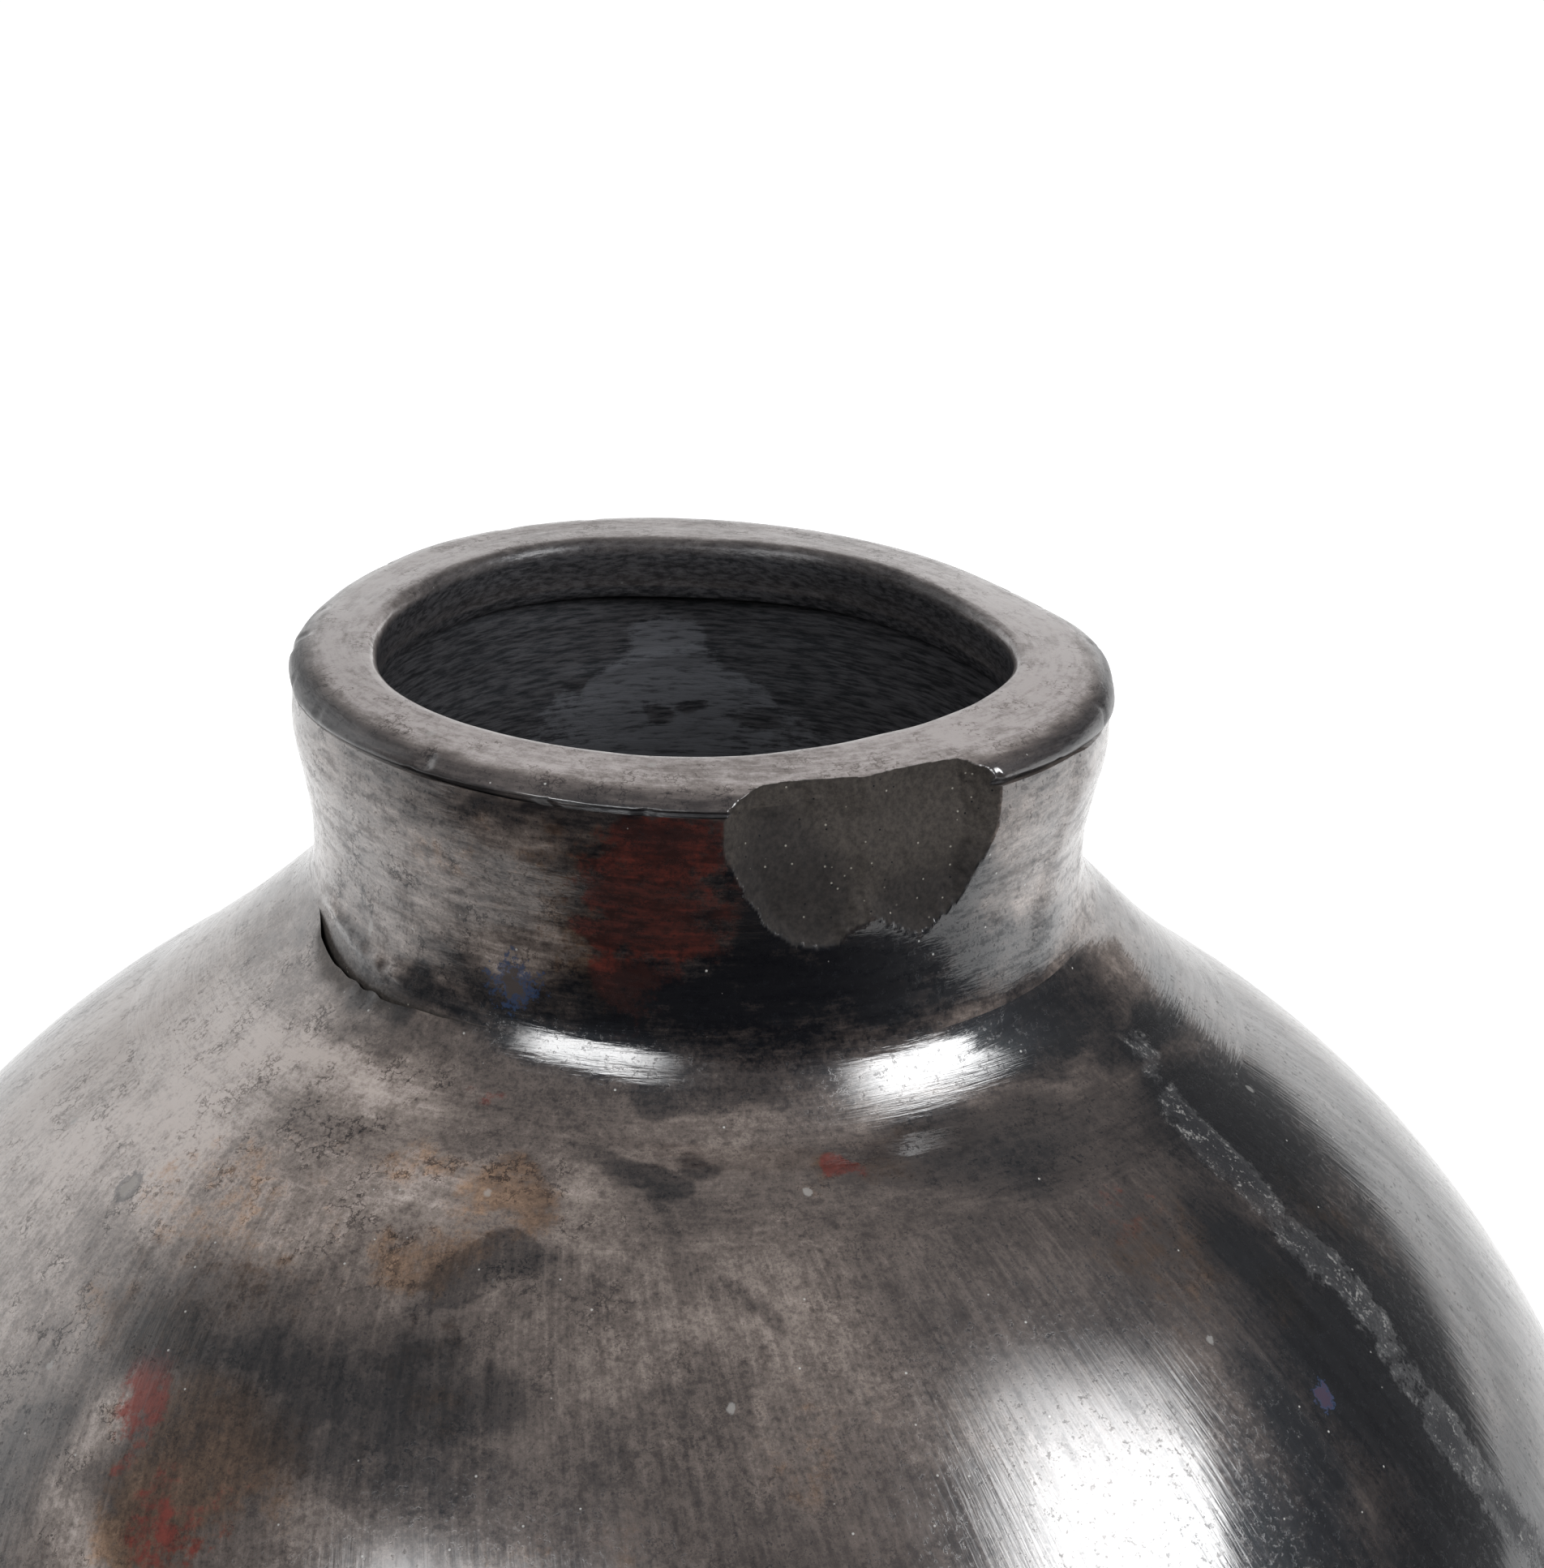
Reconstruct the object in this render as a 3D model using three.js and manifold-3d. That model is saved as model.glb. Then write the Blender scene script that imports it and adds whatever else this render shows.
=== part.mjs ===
// A hand-built, stone-burnished and smoke-fired pottery vase. A flat foot disc carries a round wall
// of flattened clay coils, each lapped over the one below. The opening is trimmed level, a strip
// collar stands on it as the neck, a roll of clay lutes the collar to the shoulder, and a thick lip
// coil with a sloping top finishes the mouth. A flake has broken from the lip and the collar.
// Millimetres, +Z up, origin at the centre of the foot's underside, front of the vase at -Y.

import * as THREE from 'three';
import { mergeVertices } from 'three/addons/utils/BufferGeometryUtils.js';
import Module from 'manifold-3d';

// Driving dimensions of the body, in millimetres
const BODY_DIAMETER = 192;
const FOOT_DIAMETER = 87;
const BELLY_HEIGHT = 74;
const SHOULDER_RISE = 96;
const WALL = 7;
const FLOOR = 9;
const FLOOR_CORNER = 2;

// Driving dimensions of the coil courses, measured along the wall
const COIL_COUNT = 8;
const FOOT_RISE = 14;
const LAP = 6;
const CLEARANCE = 0.3;

// Driving dimensions of the neck collar
const NECK_FOOT_DIAMETER = 73;
const NECK_WAIST_DIAMETER = 70.4;
const NECK_TOP_DIAMETER = 73.6;
const NECK_WALL = 4.8;
const NECK_HEIGHT = 23.4;
const WAIST_HEIGHT = 12;
const SEAT_DROP = 1;

// Driving dimensions of the roll that lutes the collar to the shoulder
const LUTING_HEIGHT = 4.2;
const LUTING_SPREAD = 13;
const LUTING_TOE = 0.6;
const LUTING_CROWN = 0.8;
const CRACK_WIDTH = 0.9;
const CRACK_MIDDLE = 216;
const CRACK_SPAN = 56;

// Driving dimensions of the lip coil
const LIP_DIAMETER = 76;
const MOUTH_DIAMETER = 58.5;
const LIP_HEIGHT = 5.4;
const LIP_FALL = 1.3;
const LIP_OUTER_ROUND = 2.4;
const LIP_INNER_ROUND = 1.2;
const LIP_INNER_FLARE = 1.4;

// The hand's work on the neck: a slight tilt, and hollows and swells of its plan, in degrees
// anticlockwise from +X and millimetres at the lip
const LIP_TILT = 1;
const PLAN_SWELLS = [
  { at: -9, swell: 1.5, spread: 18 },
  { at: 32, swell: -1.2, spread: 24 },
  { at: 120, swell: 1.3, spread: 27 },
  { at: 166, swell: -0.7, spread: 21 },
];

// The two scars of the flake: turn is from the front towards +X, in degrees, and drop is from the
// top of the lip to the middle of the scar
const FLAKE_SCARS = [
  { turn: 15, drop: 5, width: 18, height: 25, depth: 4.6 },
  { turn: 34.5, drop: 4, width: 19, height: 23, depth: 4.6 },
];
const FLAKE_PROUD = 0.5;

// Facets round each piece, and steps along its profile
const WALL_FACETS = 64;
const NECK_FACETS = 80;
const SCAR_FACETS = 20;
const OUTSIDE_STEPS = 3;
const INSIDE_STEPS = 2;
const COLLAR_STEPS = 6;
const ROUND_STEPS = 3;

// Sizes that follow from the driving dimensions
const bodyRadius = BODY_DIAMETER / 2;
const footRadius = FOOT_DIAMETER / 2;
const neckFootRadius = NECK_FOOT_DIAMETER / 2;
const neckTopRadius = NECK_TOP_DIAMETER / 2;
const lipRadius = LIP_DIAMETER / 2;
const mouthRadius = MOUTH_DIAMETER / 2;
const radians = THREE.MathUtils.degToRad;

const wasm = await Module();
wasm.setup();

// The outside of the wall from the foot's edge to the trimmed opening, as radius and height
function makeWallLine() {
  const footShare = footRadius / bodyRadius;
  const bellyDrop = BELLY_HEIGHT / Math.sqrt(1 - footShare * footShare);
  const footAngle = -Math.acos(footShare);
  const openingAngle = Math.acos(neckFootRadius / bodyRadius);
  const line = new THREE.CurvePath();
  line.add(new THREE.EllipseCurve(0, BELLY_HEIGHT, bodyRadius, bellyDrop, footAngle, 0));
  line.add(new THREE.EllipseCurve(0, BELLY_HEIGHT, bodyRadius, SHOULDER_RISE, 0, openingAngle));
  return line;
}

const wallLine = makeWallLine();
const wallLength = wallLine.getLength();
const openingHeight = wallLine.getPoint(1).y;
const collarFoot = openingHeight + CLEARANCE;
const collarTop = collarFoot + NECK_HEIGHT;
const lipFoot = collarTop + CLEARANCE;
const lipTop = lipFoot + LIP_HEIGHT;

// A point of the wall at a distance along it, sunk below its outside by a depth
function wallPoint(distance, depth) {
  const share = THREE.MathUtils.clamp(distance / wallLength, 0, 1);
  const point = wallLine.getPoint(share);
  const step = 0.5 / wallLength;
  const below = wallLine.getPoint(Math.max(share - step, 0));
  const above = wallLine.getPoint(Math.min(share + step, 1));
  const along = above.sub(below).normalize();
  return new THREE.Vector2(point.x - depth * along.y, point.y + depth * along.x);
}

// A run of wall points at one depth, from one distance to another
function wallRun(from, to, depth, steps) {
  const points = [];
  for (let i = 0; i <= steps; i += 1) {
    points.push(wallPoint(from + (to - from) * (i / steps), depth));
  }
  return points;
}

// The turn in degrees, from -180 to 180, from a bearing to a point seen from above
function turnBetween(x, y, bearing) {
  const angle = THREE.MathUtils.radToDeg(Math.atan2(y, x));
  return THREE.MathUtils.euclideanModulo(angle - bearing + 180, 360) - 180;
}

// The tilt and the swells grow from nothing at the neck's foot to their full size at the lip
function shapeByHand(geometry) {
  const points = geometry.attributes.position;
  for (let i = 0; i < points.count; i += 1) {
    const x = points.getX(i);
    const y = points.getY(i);
    const z = points.getZ(i);
    const rise = THREE.MathUtils.smoothstep(z, openingHeight, lipTop);
    let swell = 0;
    for (const bump of PLAN_SWELLS) {
      const spreads = turnBetween(x, y, bump.at) / bump.spread;
      swell += bump.swell * Math.exp(-spreads * spreads);
    }
    const stretch = 1 + (rise * swell) / lipRadius;
    const tilt = rise * x * Math.tan(radians(LIP_TILT));
    points.setXYZ(i, x * stretch, y * stretch, z - tilt);
  }
}

// A profile in radius and height, turned round the Z axis; it closes on itself or ends on the axis
function turn(profile, facets) {
  const onAxis = profile[0].x === 0;
  const outline = onAxis ? profile : [...profile, profile[0].clone()];
  const lathe = new THREE.LatheGeometry(outline, facets);
  lathe.rotateX(Math.PI / 2);
  lathe.deleteAttribute('normal');
  lathe.deleteAttribute('uv');
  return mergeVertices(lathe);
}

function toSolid(geometry) {
  const vertProperties = new Float32Array(geometry.attributes.position.array);
  const triVerts = new Uint32Array(geometry.index.array);
  return new wasm.Manifold(new wasm.Mesh({ numProp: 3, vertProperties, triVerts }));
}

function toGeometry(solid) {
  const mesh = solid.getMesh();
  const geometry = new THREE.BufferGeometry();
  geometry.setAttribute('position', new THREE.BufferAttribute(mesh.vertProperties, 3));
  geometry.setIndex(new THREE.BufferAttribute(mesh.triVerts, 1));
  return geometry;
}

// The foot: a disc pressed flat, with its edge turned up as the start of the wall
function footDisc() {
  const edge = FOOT_RISE - CLEARANCE / 2;
  const outside = wallRun(0, edge, 0, OUTSIDE_STEPS);
  const inside = wallPoint(edge - LAP, WALL);
  const floorEdge = new THREE.Vector2(inside.x - FLOOR_CORNER, FLOOR);
  const underside = new THREE.Vector2(0, 0);
  const floorMiddle = new THREE.Vector2(0, FLOOR);
  return turn([underside, ...outside, inside, floorEdge, floorMiddle], WALL_FACETS);
}

// A course of the wall: a flattened coil whose lower edge laps the coil below on the inside
function wallCoil(course) {
  const pitch = (wallLength - FOOT_RISE) / COIL_COUNT;
  const bottom = FOOT_RISE + course * pitch + CLEARANCE / 2;
  const isTop = course === COIL_COUNT - 1;
  const top = isTop ? wallLength : bottom + pitch - CLEARANCE;
  const outside = wallRun(bottom, top, 0, OUTSIDE_STEPS);
  if (isTop) {
    const trimmedEdge = new THREE.Vector2(neckFootRadius - NECK_WALL, openingHeight);
    const inside = wallRun(top, bottom - LAP, WALL, OUTSIDE_STEPS);
    return turn([...outside, trimmedEdge, ...inside], WALL_FACETS);
  }
  const inside = wallRun(top - LAP, bottom - LAP, WALL, INSIDE_STEPS);
  return turn([...outside, ...inside], WALL_FACETS);
}

// The roll pressed into the corner between collar and shoulder. Along its crack the upper edge
// stands away from the collar, because there it was never smoothed in
function lutingRoll() {
  const collarSide = neckFootRadius + CLEARANCE;
  const toe = wallPoint(wallLength - LUTING_SPREAD, -CLEARANCE - LUTING_TOE);
  const crest = new THREE.Vector2(collarSide, openingHeight + LUTING_HEIGHT);
  const crown = crest.clone().add(toe).multiplyScalar(0.5);
  crown.add(new THREE.Vector2(LUTING_CROWN, LUTING_CROWN));
  const back = new THREE.QuadraticBezierCurve(toe, crown, crest).getPoints(ROUND_STEPS);
  const bed = wallRun(wallLength, wallLength - LUTING_SPREAD, -CLEARANCE, INSIDE_STEPS);
  bed[0].x = collarSide;
  const roll = turn([...back, ...bed], WALL_FACETS);
  const points = roll.attributes.position;
  for (let i = 0; i < points.count; i += 1) {
    const x = points.getX(i);
    const y = points.getY(i);
    const z = points.getZ(i);
    const radius = Math.hypot(x, y);
    const away = turnBetween(x, y, CRACK_MIDDLE);
    const onCrest = radius < collarSide + CLEARANCE && z > openingHeight + LUTING_HEIGHT / 2;
    if (onCrest && Math.abs(away) < CRACK_SPAN / 2) {
      const opened = CRACK_WIDTH * Math.cos((Math.PI * away) / CRACK_SPAN) ** 2;
      const stretch = 1 + opened / radius;
      points.setXYZ(i, x * stretch, y * stretch, z - opened);
    }
  }
  return roll;
}

// The neck: a strip of clay bent into a collar, drawn in at the waist, with a sloping seat on top
function neckCollar() {
  const line = new THREE.SplineCurve([
    new THREE.Vector2(neckFootRadius, collarFoot),
    new THREE.Vector2(NECK_WAIST_DIAMETER / 2, collarFoot + WAIST_HEIGHT),
    new THREE.Vector2(neckTopRadius, collarTop),
  ]);
  const outside = line.getPoints(COLLAR_STEPS);
  const inside = outside.map((point) => new THREE.Vector2(point.x - NECK_WALL, point.y)).reverse();
  inside[0].y -= SEAT_DROP;
  return turn([...outside, ...inside], NECK_FACETS);
}

// The lip: a thick coil on the collar, overhanging it on both sides, its top sloping outwards
function lipCoil() {
  const outline = new THREE.Shape();
  const outerTop = lipTop - LIP_FALL;
  const outerMiddle = (outerTop + lipFoot) / 2;
  const innerFoot = lipFoot - SEAT_DROP;
  outline.moveTo(mouthRadius + LIP_INNER_FLARE, innerFoot);
  outline.lineTo(neckTopRadius - NECK_WALL, innerFoot);
  outline.lineTo(neckTopRadius, lipFoot);
  outline.quadraticCurveTo(lipRadius, lipFoot, lipRadius, outerMiddle);
  outline.quadraticCurveTo(lipRadius, outerTop, lipRadius - LIP_OUTER_ROUND, outerTop);
  outline.lineTo(mouthRadius + LIP_INNER_ROUND, lipTop);
  outline.quadraticCurveTo(mouthRadius, lipTop, mouthRadius, lipTop - LIP_INNER_ROUND);
  return turn(outline.getPoints(ROUND_STEPS), NECK_FACETS);
}

// The scars left by the flake: shallow shell-like hollows, side by side, that meet in a ridge
function flakeScars() {
  const scars = FLAKE_SCARS.map((scar) => {
    const hollow = new THREE.SphereGeometry(0.5, SCAR_FACETS, SCAR_FACETS / 2);
    hollow.scale(scar.width, 2 * scar.depth, scar.height);
    hollow.translate(0, -lipRadius - FLAKE_PROUD, lipTop - scar.drop);
    hollow.rotateZ(radians(scar.turn));
    hollow.deleteAttribute('normal');
    hollow.deleteAttribute('uv');
    return toSolid(mergeVertices(hollow));
  });
  return scars.reduce((joined, scar) => joined.add(scar));
}

// The clay took its colours from the smoke: near-black, brown-black and grey-taupe
function clay(colour, roughness) {
  return new THREE.MeshStandardMaterial({ color: colour, roughness, metalness: 0 });
}

const vase = new THREE.Group();

function place(name, geometry, material) {
  geometry.computeVertexNormals();
  const mesh = new THREE.Mesh(geometry, material);
  mesh.name = name;
  vase.add(mesh);
}

const footColour = 0x2f2b29;
const wallColour = 0x4a4442;
const neckColour = 0x5a5250;
const lipColour = 0x76696a;
const burnishedRoughness = 0.3;
const rubbedRoughness = 0.45;

place('foot_disc', footDisc(), clay(footColour, rubbedRoughness));
for (let course = 0; course < COIL_COUNT; course += 1) {
  place(`wall_coil_${course + 1}`, wallCoil(course), clay(wallColour, burnishedRoughness));
}
place('luting_roll', lutingRoll(), clay(wallColour, burnishedRoughness));

const scars = flakeScars();
for (const [name, geometry, colour] of [
  ['neck_collar', neckCollar(), neckColour],
  ['lip_coil', lipCoil(), lipColour],
]) {
  shapeByHand(geometry);
  place(name, toGeometry(toSolid(geometry).subtract(scars)), clay(colour, burnishedRoughness));
}

export default vase;
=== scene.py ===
import math

import bpy
import numpy as np
from mathutils import Matrix, Vector


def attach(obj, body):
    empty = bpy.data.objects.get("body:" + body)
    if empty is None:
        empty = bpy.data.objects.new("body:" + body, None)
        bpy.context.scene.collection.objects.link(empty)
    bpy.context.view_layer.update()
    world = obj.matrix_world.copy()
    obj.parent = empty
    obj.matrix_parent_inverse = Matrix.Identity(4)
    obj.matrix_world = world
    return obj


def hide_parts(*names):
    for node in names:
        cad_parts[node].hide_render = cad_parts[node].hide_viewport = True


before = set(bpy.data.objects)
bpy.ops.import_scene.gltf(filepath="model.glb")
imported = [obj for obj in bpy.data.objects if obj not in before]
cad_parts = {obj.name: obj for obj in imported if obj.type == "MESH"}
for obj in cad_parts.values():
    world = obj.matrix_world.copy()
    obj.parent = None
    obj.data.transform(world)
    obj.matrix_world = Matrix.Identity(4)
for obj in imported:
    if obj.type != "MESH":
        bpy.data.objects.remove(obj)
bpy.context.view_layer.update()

MM = 0.001

# Foot disc: a pancake of clay pressed flat, with its edge turned up as the start of the wall.
# All the vase is one sandy clay, burnished with a stone and blackened in a smoky fire, so the
# ring of skin and the clay that are set out here are used again by every piece above.
BODY_RADIUS = 96 * MM
FOOT_RADIUS = 43.5 * MM
BELLY_HEIGHT = 74 * MM
SHOULDER_RISE = 96 * MM
OPENING_RADIUS = 36.5 * MM
WALL = 7 * MM
FLOOR = 9 * MM
FOOT_RISE = 14 * MM
FOOT_EDGE_ROUND = 3 * MM
FLOOR_CORNER = 4 * MM
LAP = 6 * MM
OUTSIDE_STEP = 1.4 * MM
INSIDE_STEP = 3 * MM
COLUMN_TURN = 0.76
FLAKE_COLUMN_TURN = 0.25
FLAKE_BEARINGS = (266, 324)
LUMP_RISE = 0.16 * MM
WRAP_RADIUS = 60 * MM


def eased(value, low, high):
    """0 below low, 1 above high and a smooth rise between."""
    t = np.clip((value - low) / (high - low), 0, 1)
    return t * t * (3 - 2 * t)


def wall_outline():
    """Radius and height along the outside of the wall, from the foot's edge to the opening."""
    steps = 900
    drop = BELLY_HEIGHT / math.sqrt(1 - (FOOT_RADIUS / BODY_RADIUS) ** 2)
    lower = np.linspace(-math.acos(FOOT_RADIUS / BODY_RADIUS), 0, steps)
    upper = np.linspace(0, math.acos(OPENING_RADIUS / BODY_RADIUS), steps)[1:]
    radius = BODY_RADIUS * np.cos(np.r_[lower, upper])
    height = BELLY_HEIGHT + np.r_[drop * np.sin(lower), SHOULDER_RISE * np.sin(upper)]
    return np.stack([radius, height], axis=1)


def distances(line):
    """Distance of each point of a line from its start."""
    return np.r_[0, np.cumsum(np.hypot(*np.diff(line, axis=0).T))]


wall_line = wall_outline()
wall_distance = distances(wall_line)
wall_length = wall_distance[-1]
opening_height = wall_line[-1, 1]


def wall_point(distance, depth=0.0):
    """A point of the wall by its distance from the foot's edge, sunk below the outside."""
    nudge = 0.2 * MM
    here, behind, ahead = (
        np.stack([np.interp(distance + shift, wall_distance, part) for part in wall_line.T], axis=-1)
        for shift in (0, -nudge, nudge)
    )
    tangent = ahead - behind
    tangent /= np.linalg.norm(tangent, axis=-1, keepdims=True)
    return here + depth * np.stack([-tangent[..., 1], tangent[..., 0]], axis=-1)


def wall_run(start, end, step, depth=0.0):
    """Points of the wall between two distances, with one more point beyond each end."""
    count = max(2, round(abs(end - start) / step) + 1)
    distance = np.linspace(start, end, count)
    pace = distance[1] - distance[0]
    return wall_point(np.r_[start - pace, distance, end + pace], depth)


def reach(height):
    """Distance up the outside of the vase of a height on it."""
    up_wall = np.interp(height, wall_line[:, 1], wall_distance)
    return up_wall + np.maximum(height - opening_height, 0)


def all_bearings():
    """Directions round the vase from +X, closer together where a flake broke off."""
    first, last = FLAKE_BEARINGS
    before = np.arange(0, first, COLUMN_TURN)
    across = np.arange(first, last, FLAKE_COLUMN_TURN)
    after = np.linspace(last, 360, round((360 - last) / COLUMN_TURN), endpoint=False)
    return np.radians(np.r_[before, across, after])


BEARING = all_bearings()


def turn_from(bearing, degrees):
    """Degrees from a fixed direction, between -180 and 180."""
    return (np.degrees(bearing) - degrees + 180) % 360 - 180


DICE_ROWS = 64
# Bumps, by their length, how many go round in a turn and a seed.
BODY_BUMPS = (34 * MM, 14, 5)
SCUFF_EDGE_BUMPS = (3 * MM, 120, 61)
SCUFF_RUB_BUMPS = (4 * MM, 110, 62)


def smooth_rise(t):
    """A rise from 0 to 1 with level ends."""
    return t**3 * (t * (6 * t - 15) + 10)


def lumps(bearing, along, length, round_count, seed):
    """Smooth bumps from -1 to 1, a length apart along and round_count of them in a turn."""
    dice = np.random.default_rng(seed).uniform(-1, 1, (DICE_ROWS, round_count))
    across = bearing / (2 * math.pi) * round_count
    along = along / length
    column = np.floor(across).astype(int)
    row = np.floor(along).astype(int)
    s = smooth_rise(across - column)
    t = smooth_rise(along - row)
    low, high = (
        dice[r % DICE_ROWS, column % round_count] * (1 - s)
        + dice[r % DICE_ROWS, (column + 1) % round_count] * s
        for r in (row, row + 1)
    )
    return low * (1 - t) + high * t


# Bumps on the edges of marks: size, push in millimetres and seed.
RAGS = [(12 * MM, 2.6, 51), (4.5 * MM, 1.4, 52)]
SPOT_CORE = 0.3
SPOT_END = 1.5


def ragged(bearing, up):
    """Distances across and along, in millimetres, that push a mark's edge out of shape."""
    push = np.zeros((2, *up.shape))
    for size, amount, seed in RAGS:
        round_count = round(2 * math.pi * WRAP_RADIUS / size)
        for part in (0, 1):
            push[part] += amount * lumps(bearing, up, size, round_count, seed + 10 * part)
    return push


def patches(bearing, height, marks, push=1.0):
    """Ragged spots: (bearing, height mm, half width mm, half length mm, lean, strength)."""
    total = np.zeros_like(height)
    radius = np.interp(height, wall_line[:, 1], wall_line[:, 0])
    up = reach(height)
    aside, ahead = push * ragged(bearing, up)
    for at, tall, wide, long, lean, strength in marks:
        across = np.radians(turn_from(bearing, at)) * radius / MM + aside
        along = (up - reach(tall * MM)) / MM + ahead
        cosine = math.cos(math.radians(lean))
        sine = math.sin(math.radians(lean))
        away = np.hypot((across * cosine + along * sine) / wide, (along * cosine - across * sine) / long)
        total = np.maximum(total, strength * (1 - eased(away, SPOT_CORE, SPOT_END)))
    return total


# Clouds and patches on the body, as spots. SHADE is painted shade, a broad darker wash over the clay;
# the other lists are clouds that the fire left, and PALE is partly painted reflection on the left
# shoulder.
SHADE = [
    (-118, 143, 30, 9, 0, 0.5), (-107, 149, 10, 5, 10, 0.4), (-52, 150, 20, 16, 0, 0.85),
    (-40, 146, 12, 14, 0, 0.9), (-45, 157, 22, 7, 0, 0.95), (-84, 158, 16, 4, 0, 0.4),
    (-108, 156.5, 5, 4, 0, 0.4), (-128, 160, 20, 4, 0, 0.3), (-76, 136, 16, 7, 0, 0.8),
    (-100, 161, 14, 3, 0, 0.3), (-64, 158, 14, 5, 0, 0.8), (-92, 136, 10, 6, 0, 0.5),
    (-30, 130, 12, 14, 0, 0.9),
]
SMOKE = [
    (-106.5, 152.4, 7, 2.2, 20, 0.8), (-110.5, 150, 6, 3, 25, 0.75), (-144, 131, 6, 8, 0, 0.5),
    (-109, 145, 11, 5, 0, 0.68), (-123.5, 143.5, 10, 5.5, 10, 0.75), (-115, 142, 9, 5, 0, 0.7),
    (-116, 139, 20, 6, 0, 0.5), (-133, 142, 8, 5, 0, 0.6), (-130, 148, 10, 5, 35, 0.3),
    (-139, 130, 6, 9, 0, 0.75), (-141, 147, 6, 3, 30, 0.4), (-134, 159, 9, 4, 10, 0.4),
    (-121, 161, 9, 3, 0, 0.4), (-112, 163, 9, 2, 0, 0.35), (-95, 158.6, 4, 1.8, 0, 0.7),
    (-89, 159.4, 3, 1.0, -10, 0.55), (-92, 156, 1.0, 6, 25, 0.5), (-88, 153.5, 1.2, 7, 28, 0.45),
    (-84, 151, 1.0, 6, 30, 0.4), (-127, 153, 4, 3, 30, 0.2), (-116, 154, 3, 2, 0, 0.35),
    (-55, 157, 14, 6, 0, 0.25), (-62, 146, 14, 12, 0, 0.1), (-90, 110, 30, 16, 0, 0.5),
    (-150, 100, 24, 22, 10, 0.7), (-100, 50, 30, 22, 0, 0.7), (30, 120, 24, 18, 20, 0.7),
    (140, 140, 20, 16, -20, 0.7), (60, 60, 26, 24, 0, 0.75), (-170, 40, 26, 20, 0, 0.6),
]
SOOT_MARKS = [
    (-20, 152, 14, 12, 0, 1.0), (-26, 136, 14, 18, 0, 1.0), (-28, 114, 20, 18, 0, 1.0),
    (-36, 162.5, 15, 4.5, 0, 0.9), (-8, 140, 20, 36, 0, 0.6), (-46, 124, 14, 14, 0, 0.85),
    (-18, 160.5, 12, 4, 0, 1.0), (-33, 146, 5, 10, 10, 0.8), (-50, 158, 14, 5, 0, 0.2),
    (-44, 152, 9, 7, 0, 0.12), (-40, 134, 6, 9, 0, 0.75), (95, 110, 34, 26, 12, 0.8),
    (150, 70, 30, 26, 0, 0.7), (10, 40, 28, 20, 0, 0.7), (-30, 84, 34, 20, 0, 0.6),
    (60, 150, 18, 12, -10, 0.5),
]
RUSSET = [
    (-133.4, 138.4, 2.2, 2.8, 0, 0.75), (-132, 136, 3.0, 3.2, 0, 0.9), (-130.4, 134, 2.0, 2.4, 0, 0.7),
    (-126, 131.8, 1.6, 3, 20, 0.45), (-124.2, 129.5, 2, 2.4, 0, 0.45), (-70.5, 158.2, 2.4, 1.6, 0, 0.75),
    (-122, 131, 5, 5, 0, 0.45), (-116, 162, 3, 1.6, 0, 0.4), (-41.7, 152.5, 4, 5, 0, 0.2),
    (120, 96, 10, 14, 10, 0.7), (40, 96, 8, 8, 0, 0.6), (-60, 60, 9, 12, 0, 0.6),
]
UMBER = [
    (-108, 156, 4, 5, 0, 0.8), (-114, 151.5, 6, 4, 25, 0.8), (-125, 135, 11, 9, 0, 1.1),
    (-137, 143, 10, 5, 0, 0.75), (-128, 149, 12, 7, 30, 0.5), (-136, 152, 14, 7, 20, 0.55),
    (-110, 146, 7, 6, 0, 0.55), (-122, 157, 10, 3, 0, 0.5), (-32.5, 142, 3, 6, 5, 0.7),
    (-20, 146, 2.4, 8, 0, 0.7), (-42, 148, 8, 10, 0, 0.5), (-66, 158, 12, 3, 0, 0.5),
    (-78, 143, 8, 5, 0, 0.3), (-96, 120, 20, 20, 0, 0.5), (90, 132, 26, 16, 0, 0.6),
    (150, 110, 20, 16, 0, 0.6), (30, 70, 30, 20, 0, 0.6), (-130, 70, 30, 20, 0, 0.6),
]
# PALE: the clay's pale tone; the spots on the left shoulder, from -166 to -144 degrees, are also painted
# reflection of the bright wall on that side.
PALE = [
    (-166, 152, 26, 26, 0, 1.1), (-148, 152, 14, 14, 0, 1.0), (-158, 126, 26, 22, 0, 0.9),
    (-122, 155.5, 14, 5, 0, 0.75), (-101, 156, 5, 5, 0, 0.5), (-150, 141, 12, 8, 0, 0.7),
    (-135, 134, 3, 5, 8, 0.8), (-131, 127.5, 6, 4, 0, 0.75), (-132, 153, 12, 6, 0, 0.75),
    (-144, 160, 18, 6, 0, 1.15), (-93, 151, 16, 9, 0, 0.2), (-115, 151, 16, 5, 0, 0.3),
    (45, 130, 30, 26, 0, 0.7), (170, 110, 36, 30, 0, 0.7), (100, 150, 26, 12, 0, 0.6),
    (-60, 80, 36, 22, 0, 0.5),
]
# The scuffed band: height in millimetres, bearing and how hard it was rubbed.
SCUFF_LINE = [
    (112, -21.5, 0.8), (117, -22.6, 0.9), (124, -25, 0.8), (131, -26.1, 1.0), (136, -26.4, 0.6),
    (141, -26.1, 0.75), (145, -27.2, 0.7), (147.8, -27.7, 0.4), (150, -27.6, 1.0), (153, -27.2, 1.0),
    (155.5, -25.9, 0.8), (157, -25, 0.3), (158.5, -24, 0.8), (160, -23, 0.6),
]
SCUFF_EDGE = (0.54, 4.05)
SCUFF_FADE_DOWN = 2
SCUFF_FADE_UP = 1.5
SCUFF_WANDER = 0.9
SCUFF_RUB = 0.85
SCUFF_PATCHINESS = 0.5
SWELL_FADE = 20 * MM
FOOT_RUB = (0.5 * MM, 4 * MM)


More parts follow.
